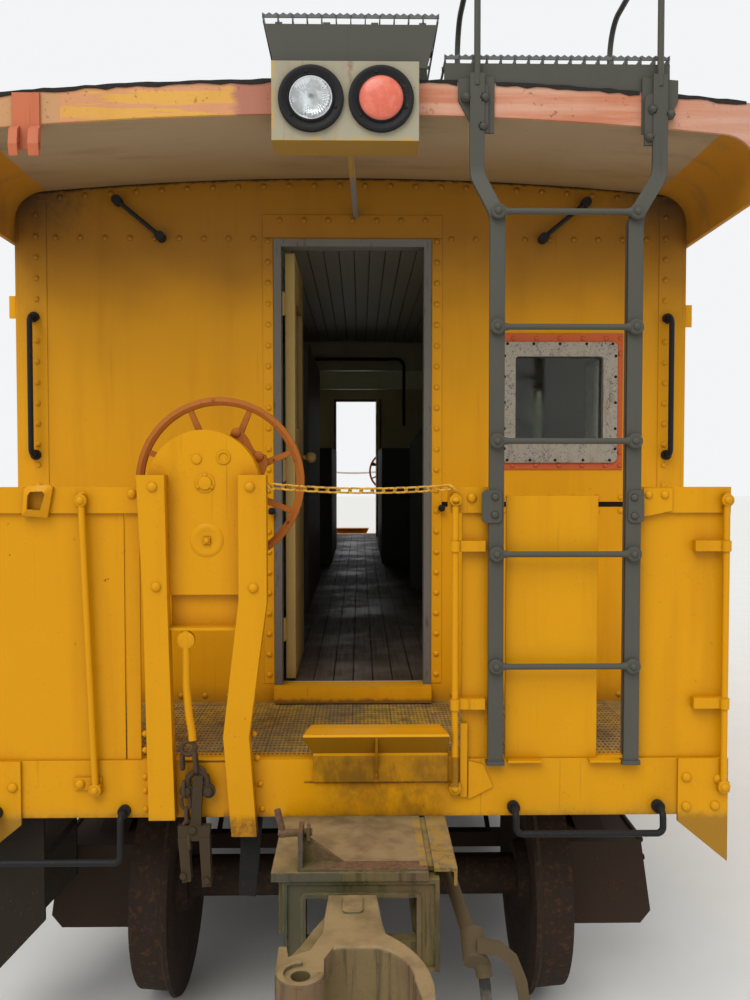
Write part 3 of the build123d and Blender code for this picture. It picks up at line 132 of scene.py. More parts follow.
class CaboosePaints(bpy.types.PropertyGroup):
    """Colours of the painted, rusted and bare surfaces."""
    platform: tint("Platform yellow", "Railings, sills and hand brake stands", "DB9806")
    wall: tint("Wall yellow", "Outside of the walls and the cupola", "EAA410")
    coral: tint("Fascia coral", "The roof's end strips and the window plates", "CC6337")
    roof: tint("Roof brown", "Weathered roof covering", "4A3D33")
    cabin: tint("Cabin cream", "Lining of the cabin", "C9C2A4")
    door: tint("Door cream", "Olive cream of the end doors", "C2A565")
    lockers: tint("Locker grey", "Lockers and partitions in the cabin", "5A5A54")
    iron: tint("Black iron", "Grab irons and underframe", "232323")
    ladder: tint("Ladder grey", "Ladders and roof walks", "54534B")
    trim: tint("Window trim", "Dull metal of the window frames", "A79E8C")
    housing: tint("Lamp housing beige", "Boxes of the marker lights", "A9A189")
    wheel: tint("Hand wheel red", "Flaking red of the hand brake wheels", "AC6424")
    rust: tint("Rust", "Bare rusted iron", "52402E")
    casting: tint("Casting olive", "Couplers and draft gear", "7F6C49")
    truck: tint("Truck brown", "Grimy iron of the trucks", "3E3027")
    tyre: tint("Wheel brown", "Rusty sides of the wheels", "33261B")
    boards: tint("Floor boards", "Worn boards of the cabin", "574838")
    rubber: tint("Hose rubber", "Aged rubber of the hoses", "26241F")
    red_lens: tint("Red lens", "Faded red lens of the marker light", "D8664C")
    ground: tint("Floor", "The floor of the stage", "DAD9D4")


class CabooseSizes(bpy.types.PropertyGroup):
    """Sizes of the small fittings."""
    rivet_radius: length("Rivet radius", "Radius of the wall rivets' heads", 0.012)
    rivet_height: length("Rivet height", "Height of the wall rivets' heads", 0.007)
    rivet_pitch: length("Rivet pitch", "Distance between rivets in the long rows", 0.105)
    bolt_radius: length("Bolt radius", "Radius of the domed bolts of the railings", 0.017)
    link_bar: length("Link bar", "Thickness of the safety chains' links", 0.007)
    link_length: length("Link length", "Outer length of a safety chain's link", 0.051)
    grating_pitch: length("Grating pitch", "Distance between the roof walks' bars", 0.048)
    tooth: length("Tooth", "Length of a tooth of the roof walks' bars", 0.024)
    lug_pitch: length("Lug pitch", "Distance between the lugs of the deck plates", 0.015)
    board_width: length("Board width", "Width of the cabin's boards", 0.085)
    leaves: IntProperty(name="Spring leaves", description="Leaves in each half of a truck spring",
                        default=6, min=2)


# Mesh making


def square_to(axis):
    """Two directions square to an axis and to each other."""
    axis = Vector(axis).normalized()
    side = axis.cross(Vector((0, 0, 1)))
    if side.length < 0.05:
        side = axis.cross(Vector((0, 1, 0)))
    side.normalize()
    return side, side.cross(axis).normalized()


def circle(centre, side, up, radius, count):
    """Points of a circle about a centre in the plane of two directions."""
    turns = [2 * math.pi * index / count for index in range(count)]
    return [centre + side * (radius * math.cos(turn)) + up * (radius * math.sin(turn)) for turn in turns]


def evenly(start, stop, pitch):
    """Points from start to stop at about the pitch."""
    start, stop = Vector(start), Vector(stop)
    count = max(1, round((stop - start).length / pitch))
    return [start.lerp(stop, index / count) for index in range(count + 1)]


class Shape:
    """Points and faces gathered for one mesh."""

    def __init__(self):
        self.points = []
        self.faces = []

    def skin(self, rings, loop=False):
        """Joins rings of equal count one after another, closed round or capped at both ends."""
        start, count = len(self.points), len(rings[0])
        for ring in rings:
            self.points.extend(ring)
        spans = len(rings) if loop else len(rings) - 1
        for span in range(spans):
            here = start + span * count
            there = start + ((span + 1) % len(rings)) * count
            for index in range(count):
                after = (index + 1) % count
                self.faces.append((here + index, here + after, there + after, there + index))
        if not loop:
            self.faces.append(tuple(range(start + count - 1, start - 1, -1)))
            last = start + (len(rings) - 1) * count
            self.faces.append(tuple(range(last, last + count)))

    def block(self, low_corner, high_corner):
        """A rectangular block."""
        (x0, y0, z0), (x1, y1, z1) = low_corner, high_corner
        ring = [(x0, y0), (x1, y0), (x1, y1), (x0, y1)]
        self.skin([[Vector((x, y, z)) for x, y in ring] for z in (z0, z1)])

    def plate(self, outline, y0, y1):
        """An outline of (x, z) points, thick from y0 back to y1."""
        self.skin([[Vector((x, y, z)) for x, z in outline] for y in (y1, y0)])

    def bar(self, route, radius, sides=10, loop=False):
        """A round bar along a route."""
        route = [Vector(point) for point in route]
        count = len(route)
        rings = []
        for index, point in enumerate(route):
            before = route[(index - 1) % count] if loop or index else point
            after = route[(index + 1) % count] if loop or index < count - 1 else point
            way = (after - before).normalized()
            if not rings:
                side, up = square_to(way)
            else:
                up = (up - way * up.dot(way)).normalized()
                side = way.cross(up).normalized()
            rings.append(circle(point, side, up, radius, sides))
        self.skin(rings, loop)

    def turned(self, profile, centre, axis, sides=20):
        """A turned piece; the profile's rows are distance along the axis and radius."""
        centre, axis = Vector(centre), Vector(axis).normalized()
        side, up = square_to(axis)
        self.skin([circle(centre + axis * along, side, up, radius, sides) for along, radius in profile])

    def stud(self, centre, axis, radius, height, sides=10):
        """A domed head."""
        profile = [(-0.2 * height, radius), (0.3 * height, 0.96 * radius), (0.75 * height, 0.7 * radius),
                   (height, 0.25 * radius)]
        self.turned(profile, centre, axis, sides)

    def bolt(self, centre, axis, radius, height):
        """A square-shouldered bolt: a washer, a six-sided head and a rounded top."""
        self.turned([(0, 1.5 * radius), (0.15 * height, 1.5 * radius), (0.2 * height, 1.3 * radius)],
                    centre, axis, 18)
        self.turned([(0, radius), (0.8 * height, radius), (height, 0.8 * radius)], centre, axis, 6)

    def ring(self, centre, along, across, long, wide, bar_radius):
        """A chain link of round bar, straight along and round at its ends."""
        centre, along, across = Vector(centre), Vector(along).normalized(), Vector(across).normalized()
        half = long / 2 - wide / 2
        bend = wide / 2 - bar_radius
        route = []
        for end in (1, -1):
            for index in range(9):
                turn = math.pi * index / 8 - math.pi / 2
                point = (along * (half + bend * math.cos(turn)) + across * bend * math.sin(turn)) * end
                route.append(centre + point)
        self.bar(route, bar_radius, 8, loop=True)

    def half_turned(self):
        """The same shape at the rear end."""
        copy = Shape()
        copy.points = [Vector((-x, -y, z)) for x, y, z in self.points]
        copy.faces = self.faces
        return copy


def make(shape, name, body, finish, slot, bevel=0.0, sharp=38):
    """A piece from a shape, riding on a body."""
    mesh = bpy.data.meshes.new(name)
    mesh.from_pydata(shape.points, [], shape.faces)
    mesh.shade_smooth()
    mesh.set_sharp_from_angle(angle=math.radians(sharp))
    mesh.materials.append(finish)
    piece = bpy.data.objects.new(name, mesh)
    bpy.context.scene.collection.objects.link(piece)
    if bevel:
        edges = piece.modifiers.new("edges", "BEVEL")
        edges.width = bevel
        edges.segments = 2
        edges.angle_limit = math.radians(40)
        edges.harden_normals = True
    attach(piece, body)
    return piece


def both_ends(shape, name, finish, slot, body="body", **looks):
    """A piece at the front end and its half-turned twin at the rear; {end} in a body's name is filled in."""
    front = make(shape, f"front_{name}", body.format(end="front"), finish, slot, **looks)
    rear = make(shape.half_turned(), f"rear_{name}", body.format(end="rear"), finish, slot, **looks)
    return front, rear


# Shader making


class Wire:
    """A shader socket that takes part in Python sums."""

    def __init__(self, finish, socket):
        self.finish = finish
        self.socket = socket

    def maths(self, operation, first, second=0.0):
        return self.finish.node("ShaderNodeMath", {"operation": operation}, {0: first, 1: second})

    def __add__(self, other):
        return self.maths("ADD", self, other)

    __radd__ = __add__

    def __sub__(self, other):
        return self.maths("SUBTRACT", self, other)

    def __rsub__(self, other):
        return self.maths("SUBTRACT", other, self)

    def __mul__(self, other):
        return self.maths("MULTIPLY", self, other)

    __rmul__ = __mul__

    def __gt__(self, other):
        return self.maths("GREATER_THAN", self, other)

    def __lt__(self, other):
        return self.maths("LESS_THAN", self, other)

    def __abs__(self):
        return self.maths("ABSOLUTE", self)

    def __mod__(self, other):
        return self.maths("FLOORED_MODULO", self, other)

    def sign(self):
        return self.maths("SIGN", self)

    def most(self, other):
        return self.maths("MAXIMUM", self, other)


def opaque(colour):
    """A steady colour with its alpha, or the wire that carries it."""
    return colour if isinstance(colour, Wire) else (*colour[:3], 1.0)


class Finish:
    """A material in the making: its nodes, its coordinates and its shader."""

    def __init__(self, name):
        self.material = bpy.data.materials.new(name)
        self.material.use_nodes = True
        self.tree = self.material.node_tree
        self.tree.nodes.clear()
        self.kept = {}
        self.shader = self.tree.nodes.new("ShaderNodeBsdfPrincipled")
        end = self.tree.nodes.new("ShaderNodeOutputMaterial")
        self.tree.links.new(self.shader.outputs[0], end.inputs[0])

    def feed(self, socket, value):
        """Links a wire to a socket, or sets a steady value there."""
        if isinstance(value, Wire):
            self.tree.links.new(value.socket, socket)
        else:
            socket.default_value = value

    def node(self, kind, settings=None, values=None, output=0):
        """A node: its settings come first, then the values or links of its sockets."""
        made = self.tree.nodes.new(kind)
        for setting, value in (settings or {}).items():
            setattr(made, setting, value)
        for place, value in (values or {}).items():
            self.feed(made.inputs[place], value)
        return Wire(self, made.outputs[output])

    def once(self, name, maker):
        """A wire that is made the first time and kept."""
        if name not in self.kept:
            self.kept[name] = maker()
        return self.kept[name]

    def place(self):
        """Position in the frame, in metres."""
        return self.once("place", lambda: self.node("ShaderNodeTexCoord", output="Object"))

    def along(self, axis):
        """One part of the position, "X", "Y" or "Z"."""
        maker = lambda: self.node("ShaderNodeSeparateXYZ", values={0: self.place()}, output=axis)
        return self.once(f"place {axis}", maker)

    def facing(self, axis):
        """One part of the direction that the surface faces."""
        normal = self.once("normal", lambda: self.node("ShaderNodeTexCoord", output="Normal"))
        maker = lambda: self.node("ShaderNodeSeparateXYZ", values={0: normal}, output=axis)
        return self.once(f"normal {axis}", maker)

    def noise(self, scale, detail=3.0, rough=0.55, shift=0.0):
        """Cloudy noise; the scale is cycles a metre, one number or three."""
        if isinstance(scale, (int, float)):
            scale = (scale, scale, scale)
        values = {0: self.place(), 1: scale, 2: (shift, 2.3 * shift, 1.7 * shift)}
        spread = self.node("ShaderNodeVectorMath", {"operation": "MULTIPLY_ADD"}, values)
        settings = {"noise_dimensions": "3D"}
        values = {"Vector": spread, "Scale": 1.0, "Detail": detail, "Roughness": rough}
        return self.node("ShaderNodeTexNoise", settings, values)

    def ramp(self, value, start, stop):
        """0 at start and 1 at stop, with a smooth change between."""
        settings = {"interpolation_type": "SMOOTHSTEP"}
        return self.node("ShaderNodeMapRange", settings, {0: value, 1: start, 2: stop})

    def mix(self, mask, under, over, way="MIX"):
        """One colour laid over another where the mask is 1."""
        # the node's colours are its sockets 6 and 7
        values = {0: mask, 6: opaque(under), 7: opaque(over)}
        return self.node("ShaderNodeMix", {"data_type": "RGBA", "blend_type": way}, values, output=2)

    def layers(self, colour, rows):
        """Colours laid one over another; the rows are mask, colour and, where it isn't MIX, the way."""
        for mask, other, *way in rows:
            colour = self.mix(mask, colour, other, *way)
        return colour

    def shut_in(self, reach):
        """How far corners and neighbours close a point in, from 0 in the open to 1."""
        settings = {"samples": 2}
        open_sky = self.node("ShaderNodeAmbientOcclusion", settings, {"Distance": reach}, output="AO")
        return 1 - open_sky

    def edges(self, radius):
        """Where an edge is near, from 0 to 1; the rounded normal is kept for the bump."""
        soft = self.once("soft", lambda: self.node("ShaderNodeBevel", {"samples": 2}, {0: radius}))
        hard = self.node("ShaderNodeNewGeometry", output="Normal")
        same = self.node("ShaderNodeVectorMath", {"operation": "DOT_PRODUCT"}, {0: soft, 1: hard}, output=1)
        return self.ramp(same, 0.995, 0.86)

    def finish(self, colour, rough, height=None, depth=0.001, soft=None, **others):
        """Sets the shader; the further values go on the sockets of their names."""
        sockets = self.shader.inputs
        self.feed(sockets["Base Color"], opaque(colour))
        self.feed(sockets["Roughness"], rough)
        if height is not None:
            values = {"Height": height, "Distance": depth, "Strength": 1.0}
            if soft is not None:
                values["Normal"] = soft
            bump = self.node("ShaderNodeBump", values=values)
            self.tree.links.new(bump.socket, sockets["Normal"])
        for name, value in others.items():
            self.feed(sockets[name.replace("_", " ").title().replace("Ior", "IOR")], value)
        return self.material


RUST_DARK = linear("2B1A12")
RUST_WARM = linear("8A4A22")
# A darkening tint: dirt in the streaks, and dirt with painted shade in corners and hollows
GRIME_AND_SHADE = (0.30, 0.24, 0.18)
DUST = linear("8C8172")

# rows: fade, streaks, specks, chips, flakes, corner darkening (dirt and painted shade), roughness, grain and
# dents, each from 0 to about 1
WEATHER = {
    "platform": (0.35, 0.40, 0.30, 0.30, 0.60, 0.70, 0.34, 0.30, 0.70),
    "wall": (0.35, 0.35, 0.15, 0.08, 0.15, 0.60, 0.40, 0.20, 0.40),
    "coral": (0.60, 0.30, 0.50, 0.25, 0.40, 0.60, 0.50, 0.50, 0.40),
    "roof": (0.80, 0.20, 0.60, 0.20, 0.00, 0.50, 0.80, 0.80, 0.50),
    "iron": (0.60, 0.10, 0.50, 0.35, 0.20, 0.30, 0.50, 0.60, 0.10),
    "ladder": (0.50, 0.20, 0.50, 0.22, 0.30, 0.30, 0.48, 0.50, 0.10),
    "trim": (0.60, 0.40, 0.70, 0.00, 0.00, 0.60, 0.45, 0.40, 0.00),
    "housing": (0.60, 0.60, 0.40, 0.20, 0.40, 0.60, 0.50, 0.40, 0.30),
    "cabin": (0.40, 0.30, 0.30, 0.10, 0.20, 0.80, 0.50, 0.20, 0.20),
    "flaking": (0.80, 0.20, 0.90, 0.80, 0.80, 0.40, 0.60, 1.00, 0.10),
    "rusted": (0.80, 0.20, 0.45, 0.00, 0.00, 0.50, 0.85, 1.40, 0.10),
    "grimy": (1.00, 0.20, 0.60, 0.20, 0.00, 0.50, 0.80, 1.20, 0.20),
}


def weathered(name, colour, weather, zones=None):
    """Old paint or iron: faded, streaked, speckled, flaked, chipped at its edges, and darkened in its corners
    as dirt and painted shade.

    zones(finish) gives (mask, colour) pairs that are painted over the base colour first.
    """
    fade, streaks, specks, chips, flakes, corner_dirt_and_shade, rough, grain, dents = WEATHER[weather]
    f = Finish(name)
    if zones:
        colour = f.layers(colour, zones(f))
    broad = f.noise(0.9, 4.0)
    cloud = f.noise(9.0, 5.0, 0.62, 4.0)
    fine = f.noise(150.0, 3.0, 0.6, 9.0)
    upright = 1 - f.ramp(abs(f.facing("Z")), 0.4, 0.8)
    runs = f.noise((9.0, 9.0, 0.7), 4.0, 0.55, 2.0)
    tears = f.noise((60.0, 60.0, 1.6), 3.0, 0.55, 12.0)
    colour = f.layers(colour, [
        (f.ramp(broad, 0.38, 0.66) * (0.45 * fade), (0.82, 0.76, 0.68), "MULTIPLY"),
        (f.ramp(cloud, 0.40, 0.68) * (0.25 * fade), (1.14, 1.12, 1.15), "MULTIPLY"),
        (f.ramp(runs, 0.48, 0.72) * upright * (0.6 * streaks), (0.66, 0.56, 0.45), "MULTIPLY"),
        (f.ramp(tears, 0.66, 0.76) * upright * (0.9 * streaks), GRIME_AND_SHADE, "MULTIPLY"),
    ])
    if corner_dirt_and_shade:
        # Darker where neighbours close a point in: dirt and painted shade in the corners
        corner = f.ramp(f.shut_in(0.07) + cloud * 0.35 - 0.2, 0.18, 0.75)
        colour = f.mix(corner * (0.85 * corner_dirt_and_shade), colour, GRIME_AND_SHADE, "MULTIPLY")
    dot = f.ramp(fine + cloud * 0.35, 0.85, 0.90) * specks
    colour = f.mix(dot, colour, RUST_WARM)
    bare = dot * 0.5
    if chips:
        patches = f.noise(34.0, 6.0, 0.7, 6.0) + f.edges(0.004) * (0.20 * chips) + broad * 0.12
        full = 0.82 - 0.10 * chips
        bare = f.ramp(patches, full - 0.02, full)
        halo = f.ramp(patches, full - 0.07, full)
        colour = f.mix(halo * 0.4, colour, RUST_WARM)
        colour = f.mix(bare, colour, f.mix(f.ramp(fine, 0.35, 0.65), RUST_DARK, linear("5E341D")))
    height = cloud * (1.2 * grain) + fine * (0.35 * grain) - bare * 0.5
    height = height + f.noise(1.7, 2.0, 0.5, 7.0) * (9 * dents)
    if flakes:
        height = height + f.ramp(f.noise(16.0, 6.0, 0.7, 21.0), 0.600, 0.615) * (0.35 * flakes)
    return f.finish(colour, rough + cloud * 0.18 + bare * 0.3 - 0.09, height, 0.0011, f.kept.get("soft"),
                    specular_ior_level=0.16)


def paint(finish, *names):
    """Puts a finish on CAD nodes."""
    for name in names:
        node = nodes[name]
        for place in node.material_slots:
            place.material = finish
        if not node.material_slots:
            node.data.materials.append(finish)


FINISHES = {}


def finish_for(name):
    """A finish made by an earlier operator."""
    if name not in FINISHES:
        raise RuntimeError(f"the finish {name} has not been made yet")
    return FINISHES[name]


def outside_of(f):
    """1 on the shell's outer surfaces and in its openings, and 0 in the cabin."""
    past_end = abs(f.along("Y")) > -INNER_Y + 0.012
    past_side = abs(f.along("X")) > INNER_X + 0.012
    return past_end.most(past_side)


class Fitting:
    """What the caboose's operators share."""
    bl_options = {"REGISTER", "UNDO"}

    @classmethod
    def poll(cls, context):
        return context.scene is not None


class CABOOSE_OT_stage(Fitting, bpy.types.Operator):
    """The camera at the photographed angle, a pale floor and soft plain light"""
    bl_idname = "caboose.stage"
    bl_label = "Stage"

    def execute(self, context):
        scene = context.scene
        camera = bpy.data.objects.new("camera", bpy.data.cameras.new("camera"))
        camera.location = CAMERA_PLACE
        camera.rotation_euler = (math.radians(90 - CAMERA_DOWN), 0, math.radians(CAMERA_LEFT))
        camera.data.lens = CAMERA_LENS
        camera.data.sensor_width = 36.0
        camera.data.clip_end = 300.0
        scene.collection.objects.link(camera)
        scene.camera = camera
        scene.view_settings.view_transform = "Standard"
        self.make_floor(scene)
        self.make_sky(scene)
        # rows: name, direction that the light travels, strength, spread in degrees
        lamps = [
            ("key", (0.30, 0.65, -0.90), 1.50, 40),
            ("fill", (-0.70, -0.55, -0.65), 0.75, 50),
        ]
        for name, way, strength, spread in lamps:
            lamp = bpy.data.lights.new(name, "SUN")
            lamp.energy = strength
            lamp.angle = math.radians(spread)
            holder = bpy.data.objects.new(name, lamp)
            holder.rotation_euler = Vector(way).to_track_quat("-Z", "Y").to_euler()
            scene.collection.objects.link(holder)
        return {"FINISHED"}

    def make_floor(self, scene):
        f = Finish("floor")
        speckle = f.noise(3.0, 4.0)
        colour = f.mix(f.ramp(speckle, 0.3, 0.7) * 0.25, tuple(scene.caboose_paints.ground),
                       linear("CFCDC6"))
        paint = f.finish(colour, 0.75)
        mesh = bpy.data.meshes.new("floor")
        half = 60.0
        corners = [(-half, -half, 0), (half, -half, 0), (half, half, 0), (-half, half, 0)]
        mesh.from_pydata(corners, [], [(0, 1, 2, 3)])
        mesh.materials.append(paint)
        floor = bpy.data.objects.new("floor", mesh)
        scene.collection.objects.link(floor)

    def make_sky(self, scene):
        world = bpy.data.worlds.new("sky")
        scene.world = world
        world.use_nodes = True
        tree = world.node_tree
        tree.nodes.clear()
        seen = tree.nodes.new("ShaderNodeLightPath")
        either = tree.nodes.new("ShaderNodeMath")
        either.operation = "MAXIMUM"
        tree.links.new(seen.outputs["Is Camera Ray"], either.inputs[0])
        tree.links.new(seen.outputs["Is Transmission Ray"], either.inputs[1])
        light = tree.nodes.new("ShaderNodeBackground")
        light.inputs[0].default_value = (0.95, 0.97, 1.0, 1.0)
        light.inputs[1].default_value = 0.72
        backdrop = tree.nodes.new("ShaderNodeBackground")
        backdrop.inputs[0].default_value = (0.90, 0.91, 0.92, 1.0)
        backdrop.inputs[1].default_value = 1.0
        choice = tree.nodes.new("ShaderNodeMixShader")
        tree.links.new(either.outputs[0], choice.inputs[0])
        tree.links.new(light.outputs[0], choice.inputs[1])
        tree.links.new(backdrop.outputs[0], choice.inputs[2])
        end = tree.nodes.new("ShaderNodeOutputWorld")
        tree.links.new(choice.outputs[0], end.inputs[0])


class CABOOSE_OT_brake_hoses(Fitting, bpy.types.Operator):
    """The brake hoses that hang from the train pipes, with their clamps and couplings"""
    bl_idname = "caboose.brake_hoses"
    bl_label = "Brake hoses"

    def execute(self, context):
        paints = context.scene.caboose_paints
        f = Finish("hose rubber")
        cloth = f.noise((420.0, 420.0, 160.0), 2.0)
        cracks = f.noise(60.0, 6.0, 0.7)
        dusty = f.mix(f.ramp(f.noise(14.0, 4.0), 0.42, 0.66) * 0.55, tuple(paints.rubber), DUST)
        rubber = f.finish(dusty, 0.72 + cracks * 0.2 - 0.1, cloth * 0.4 + cracks * 0.8, 0.0008)
        iron = weathered("coupling iron", tuple(paints.rust), "rusted")
        FINISHES["rusted"] = iron
        FINISHES["iron_olive"] = weathered("olive iron", linear("463A2A"), "rusted")
        diameter = 0.035
        route = [
            (0.398, SILL_Y - 0.385, 0.615),
            (0.404, SILL_Y - 0.400, 0.560),
            (0.405, SILL_Y - 0.411, 0.490),
            (0.398, SILL_Y - 0.416, 0.418),
            (0.388, SILL_Y - 0.412, 0.346),
            (0.381, SILL_Y - 0.400, 0.276),
            (0.378, SILL_Y - 0.382, 0.208),
        ]
        heads = self.couplings(route, iron)
        for turn, end, head in ((1, "front", heads[0]), (-1, "rear", heads[1])):
            curve = bpy.data.curves.new(f"{end}_hose", "CURVE")
            curve.dimensions = "3D"
            curve.bevel_depth = diameter / 2
            curve.bevel_resolution = 6
            curve.resolution_u = 12
            curve.use_fill_caps = True
            spline = curve.splines.new("NURBS")
            spline.points.add(len(route) - 1)
            for point, (x, y, z) in zip(spline.points, route):
                point.co = (turn * x, turn * y, z, 1.0)
            spline.order_u = 3
            spline.use_endpoint_u = True
            curve.materials.append(rubber)
            hose = bpy.data.objects.new(f"{end}_hose", curve)
            context.scene.collection.objects.link(hose)
            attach(hose, "body")
            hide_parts(f"{end}_brake_hose")
            x, y, z = route[0]
            turn * x
            turn * y
        return {"FINISHED"}

    def couplings(self, route, iron):
        """Ribbed sleeves, bolted clamps and the gripping heads."""
        shape = Shape()
        end, before = Vector(route[-1]), Vector(route[-2])
        way = (end - before).normalized()
        sleeve = [(-0.045, 0.0185), (-0.043, 0.023), (-0.030, 0.023), (-0.028, 0.021), (0.010, 0.021),
                  (0.012, 0.026), (0.024, 0.026), (0.030, 0.020), (0.072, 0.018)]
        shape.turned(sleeve, end, way, 24)
        side = way.cross(Vector((1, 0, 0))).normalized()
        across = Vector((1, 0, 0))
        # rows: distance down the hose's line, half width and half depth of the head's section
        sections = [(0.060, 0.016, 0.020), (0.072, 0.022, 0.032), (0.090, 0.023, 0.038),
                    (0.106, 0.020, 0.034), (0.112, 0.012, 0.022)]
        rings = []
        for along, wide, deep in sections:
            ring = []
            for index in range(16):
                turn = 2 * math.pi * index / 16
                blunt = 0.82 if index % 4 == 2 else 1.0
                ring.append(end + way * along + across * (wide * math.cos(turn) * blunt)
                            + side * (deep * math.sin(turn) * blunt))
            rings.append(ring)
        shape.skin(rings)
        gasket = [(0, 0.016), (0.004, 0.017), (0.006, 0.011), (0.002, 0.009)]
        shape.turned(gasket, end + way * 0.088 + across * 0.020, across, 18)
        clamp = end - way * 0.036
        shape.block(clamp + side * 0.02 - across * 0.008 - way * 0.006,
                    clamp + side * 0.036 + across * 0.008 + way * 0.006)
        shape.bolt(clamp + side * 0.030 + across * 0.008, across, 0.006, 0.007)
        pieces = both_ends(shape, "hose_coupling", iron, "rusty_casting")
        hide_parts("hose_couplings")
        return pieces


def across_end(f):
    """Place across the car as it is seen from outside each end, from left to right."""
    return f.once("across end", lambda: f.along("X") * f.along("Y").sign() * -1)


class CABOOSE_OT_shell_paint(Fitting, bpy.types.Operator):
    """Yellow walls, coral fascias, the worn roof and the cabin's lining"""
    bl_idname = "caboose.shell_paint"
    bl_label = "Shell paint"

    def execute(self, context):
        paints = context.scene.caboose_paints
        wall, coral, cabin = tuple(paints.wall), tuple(paints.coral), tuple(paints.cabin)

        def wall_zones(f):
            ragged = f.noise(40.0, 5.0, 0.7, 5.0)
            level = f.along("Z") + f.noise(2.5, 4.0) * 0.25
            end_face = abs(f.along("Y")) > -WALL_Y - 0.004
            reach = abs(f.along("X"))
            rise = f.along("Z") + reach * reach * (0.5 / ROOF_RADIUS) - SOFFIT
            # Painted shade: a dark line in the gap where the wall meets the soffit
            soffit_gap_shade = f.ramp(rise + ragged * 0.024, -0.002, 0.010) * end_face
            # Painted shade: dark grey in the gaps at the wall's top corners, under the roof
            corner = f.ramp(reach + ragged * 0.3, 1.12, 1.50) * f.ramp(level, 3.10, 3.36) * end_face
            # Painted shade: the groove across the wall at the belt is painted near black
            belt_groove_shade = (abs(f.along("Z") - 1.973) < 0.0105) * (reach > 0.371) * (reach < 1.255)
            pad = (abs(across_end(f) - WINDOW_PAD[0]) < WINDOW_PAD[2] / 2 + 0.002)
            pad = pad * (abs(f.along("Z") - WINDOW_PAD[1]) < WINDOW_PAD[3] / 2 + 0.002)
            return [
                # Darker towards the top: soot under the eaves, and painted shade of the roof's overhang
                (f.ramp(level, 2.30, 2.90) * 0.30, linear("B07A20")),
                (f.ramp(level, 2.80, 3.20) * 0.80, linear("85591E")),
                (f.ramp(f.along("Z") + f.noise(5.0, 4.0) * 0.12, 1.32, 1.16) * 0.4, linear("6E5530")),
                (corner * 0.8, linear("2F3130")),
                (soffit_gap_shade * 0.9, linear("1B1712")),
                (belt_groove_shade, linear("17130E")),
                (pad * (abs(f.along("Y")) > -WALL_Y + 0.001), coral),
                (1 - outside_of(f), cabin),
            ]

        def roof_zones(f):
            past_end = abs(f.along("Y")) > -ROOF_Y - 0.012
            below = f.facing("Z") < -0.25
            over_cabin = abs(f.along("Y")) < -WALL_Y - 0.002
            # The wings' eaves: a darker brownish yellow as painted shade of their undersides, with stains
            eave = (abs(f.along("X")) > SIDE_X - 0.13) * (f.facing("Z") < 0.5)
            eave = eave * (f.along("Z") < SOFFIT - 0.02)
            # The soffit: dirty yellow painted brown-grey as painted shade, paler and greyer outwards as a
            # painted sky reflection, with stains
            outward_sky_sheen = f.ramp(abs(f.along("Y")) + f.noise(2.0, 4.0) * 0.3, 4.60, 5.10)
            stain = f.ramp(f.noise((1.5, 6.0, 3.2), 5.0, 0.6, 1.0), 0.50, 0.68)
            soffit = f.mix(outward_sky_sheen, linear("9C8158"), linear("A8977B"))
            soffit = f.mix(stain * 0.40, soffit, linear("765F40"))
            return [
                (below, soffit),
                (below * over_cabin, linear("A6A596")),
                (eave, f.mix(stain * 0.5, linear("B98226"), linear("8A6C3A"))),
                (past_end, self.fascia(f)),
            ]

        def cupola_zones(f):
            inner = (abs(f.along("X")) < high("cupola_side_walls").x - 0.05)
            inner = inner * (f.along("Y") > CUPOLA_START + 0.05) * (f.along("Y") < CUPOLA_END - 0.05)
            in_cabin = f.along("Z") < SOFFIT
            return [(inner.most(in_cabin), cabin)]

        FINISHES["wall"] = weathered("wall yellow", wall, "wall", wall_zones)
        covering = weathered("roof covering", tuple(paints.roof), "roof", roof_zones)
        cupola = weathered("cupola yellow", wall, "wall", cupola_zones)
        FINISHES["coral"] = weathered("coral", coral, "coral")
        paint(FINISHES["wall"], "front_end_wall", "rear_end_wall", "left_side_wall", "right_side_wall")
        paint(covering, "roof", "cupola_roof")
        paint(cupola, "cupola_end_walls", "cupola_side_walls")
        both_ends(self.felt(), "roof_felt", weathered("roof felt", linear("2E2B29"), "roof"), "roof_paint")
        return {"FINISHED"}

    def fascia(self, f):
        """Coral on the right, pinker to its end, yellow with coral on the left, and greyed at the top."""
        across = across_end(f)
        cloud = f.noise((4.0, 4.0, 16.0), 5.0, 0.65, 3.0)
        streak = f.noise((1.5, 1.5, 26.0), 4.0, 0.6, 8.0)
        left = f.mix(f.ramp(streak, 0.50, 0.55), linear("E2AA55"), linear("D99A6E"))
        band = f.mix(across > -0.974, linear("CE9C70"), left)
        band = f.mix(f.ramp(across + cloud * 0.12, -0.35, -0.31), band, linear("B57A66"))
        pink = f.mix(f.ramp(streak, 0.36, 0.66), linear("CC8364"), linear("DAA68B"))
        band = f.mix(across > -0.2, band, pink)
        band = f.mix(f.ramp(across + cloud * 0.5, 1.15, 1.60) * 0.6, band, linear("C9A08C"))
        rise = f.along("Z") + across * across * (0.5 / ROOF_RADIUS) + cloud * 0.03
        top = f.ramp(rise, CROWN - 0.004, CROWN + 0.014)
        band = f.mix(top * 0.6, band, linear("8B7F76"))
        worn = f.ramp(f.noise(30.0, 6.0, 0.7, 11.0), 0.60, 0.64)
        return f.mix(worn * 0.5, band, linear("6E4A3A"))

    def felt(self):
        """The ragged edge of the roof's covering, turned down over the top of the end strip."""
        shape = Shape()
        dice = random.Random(5)
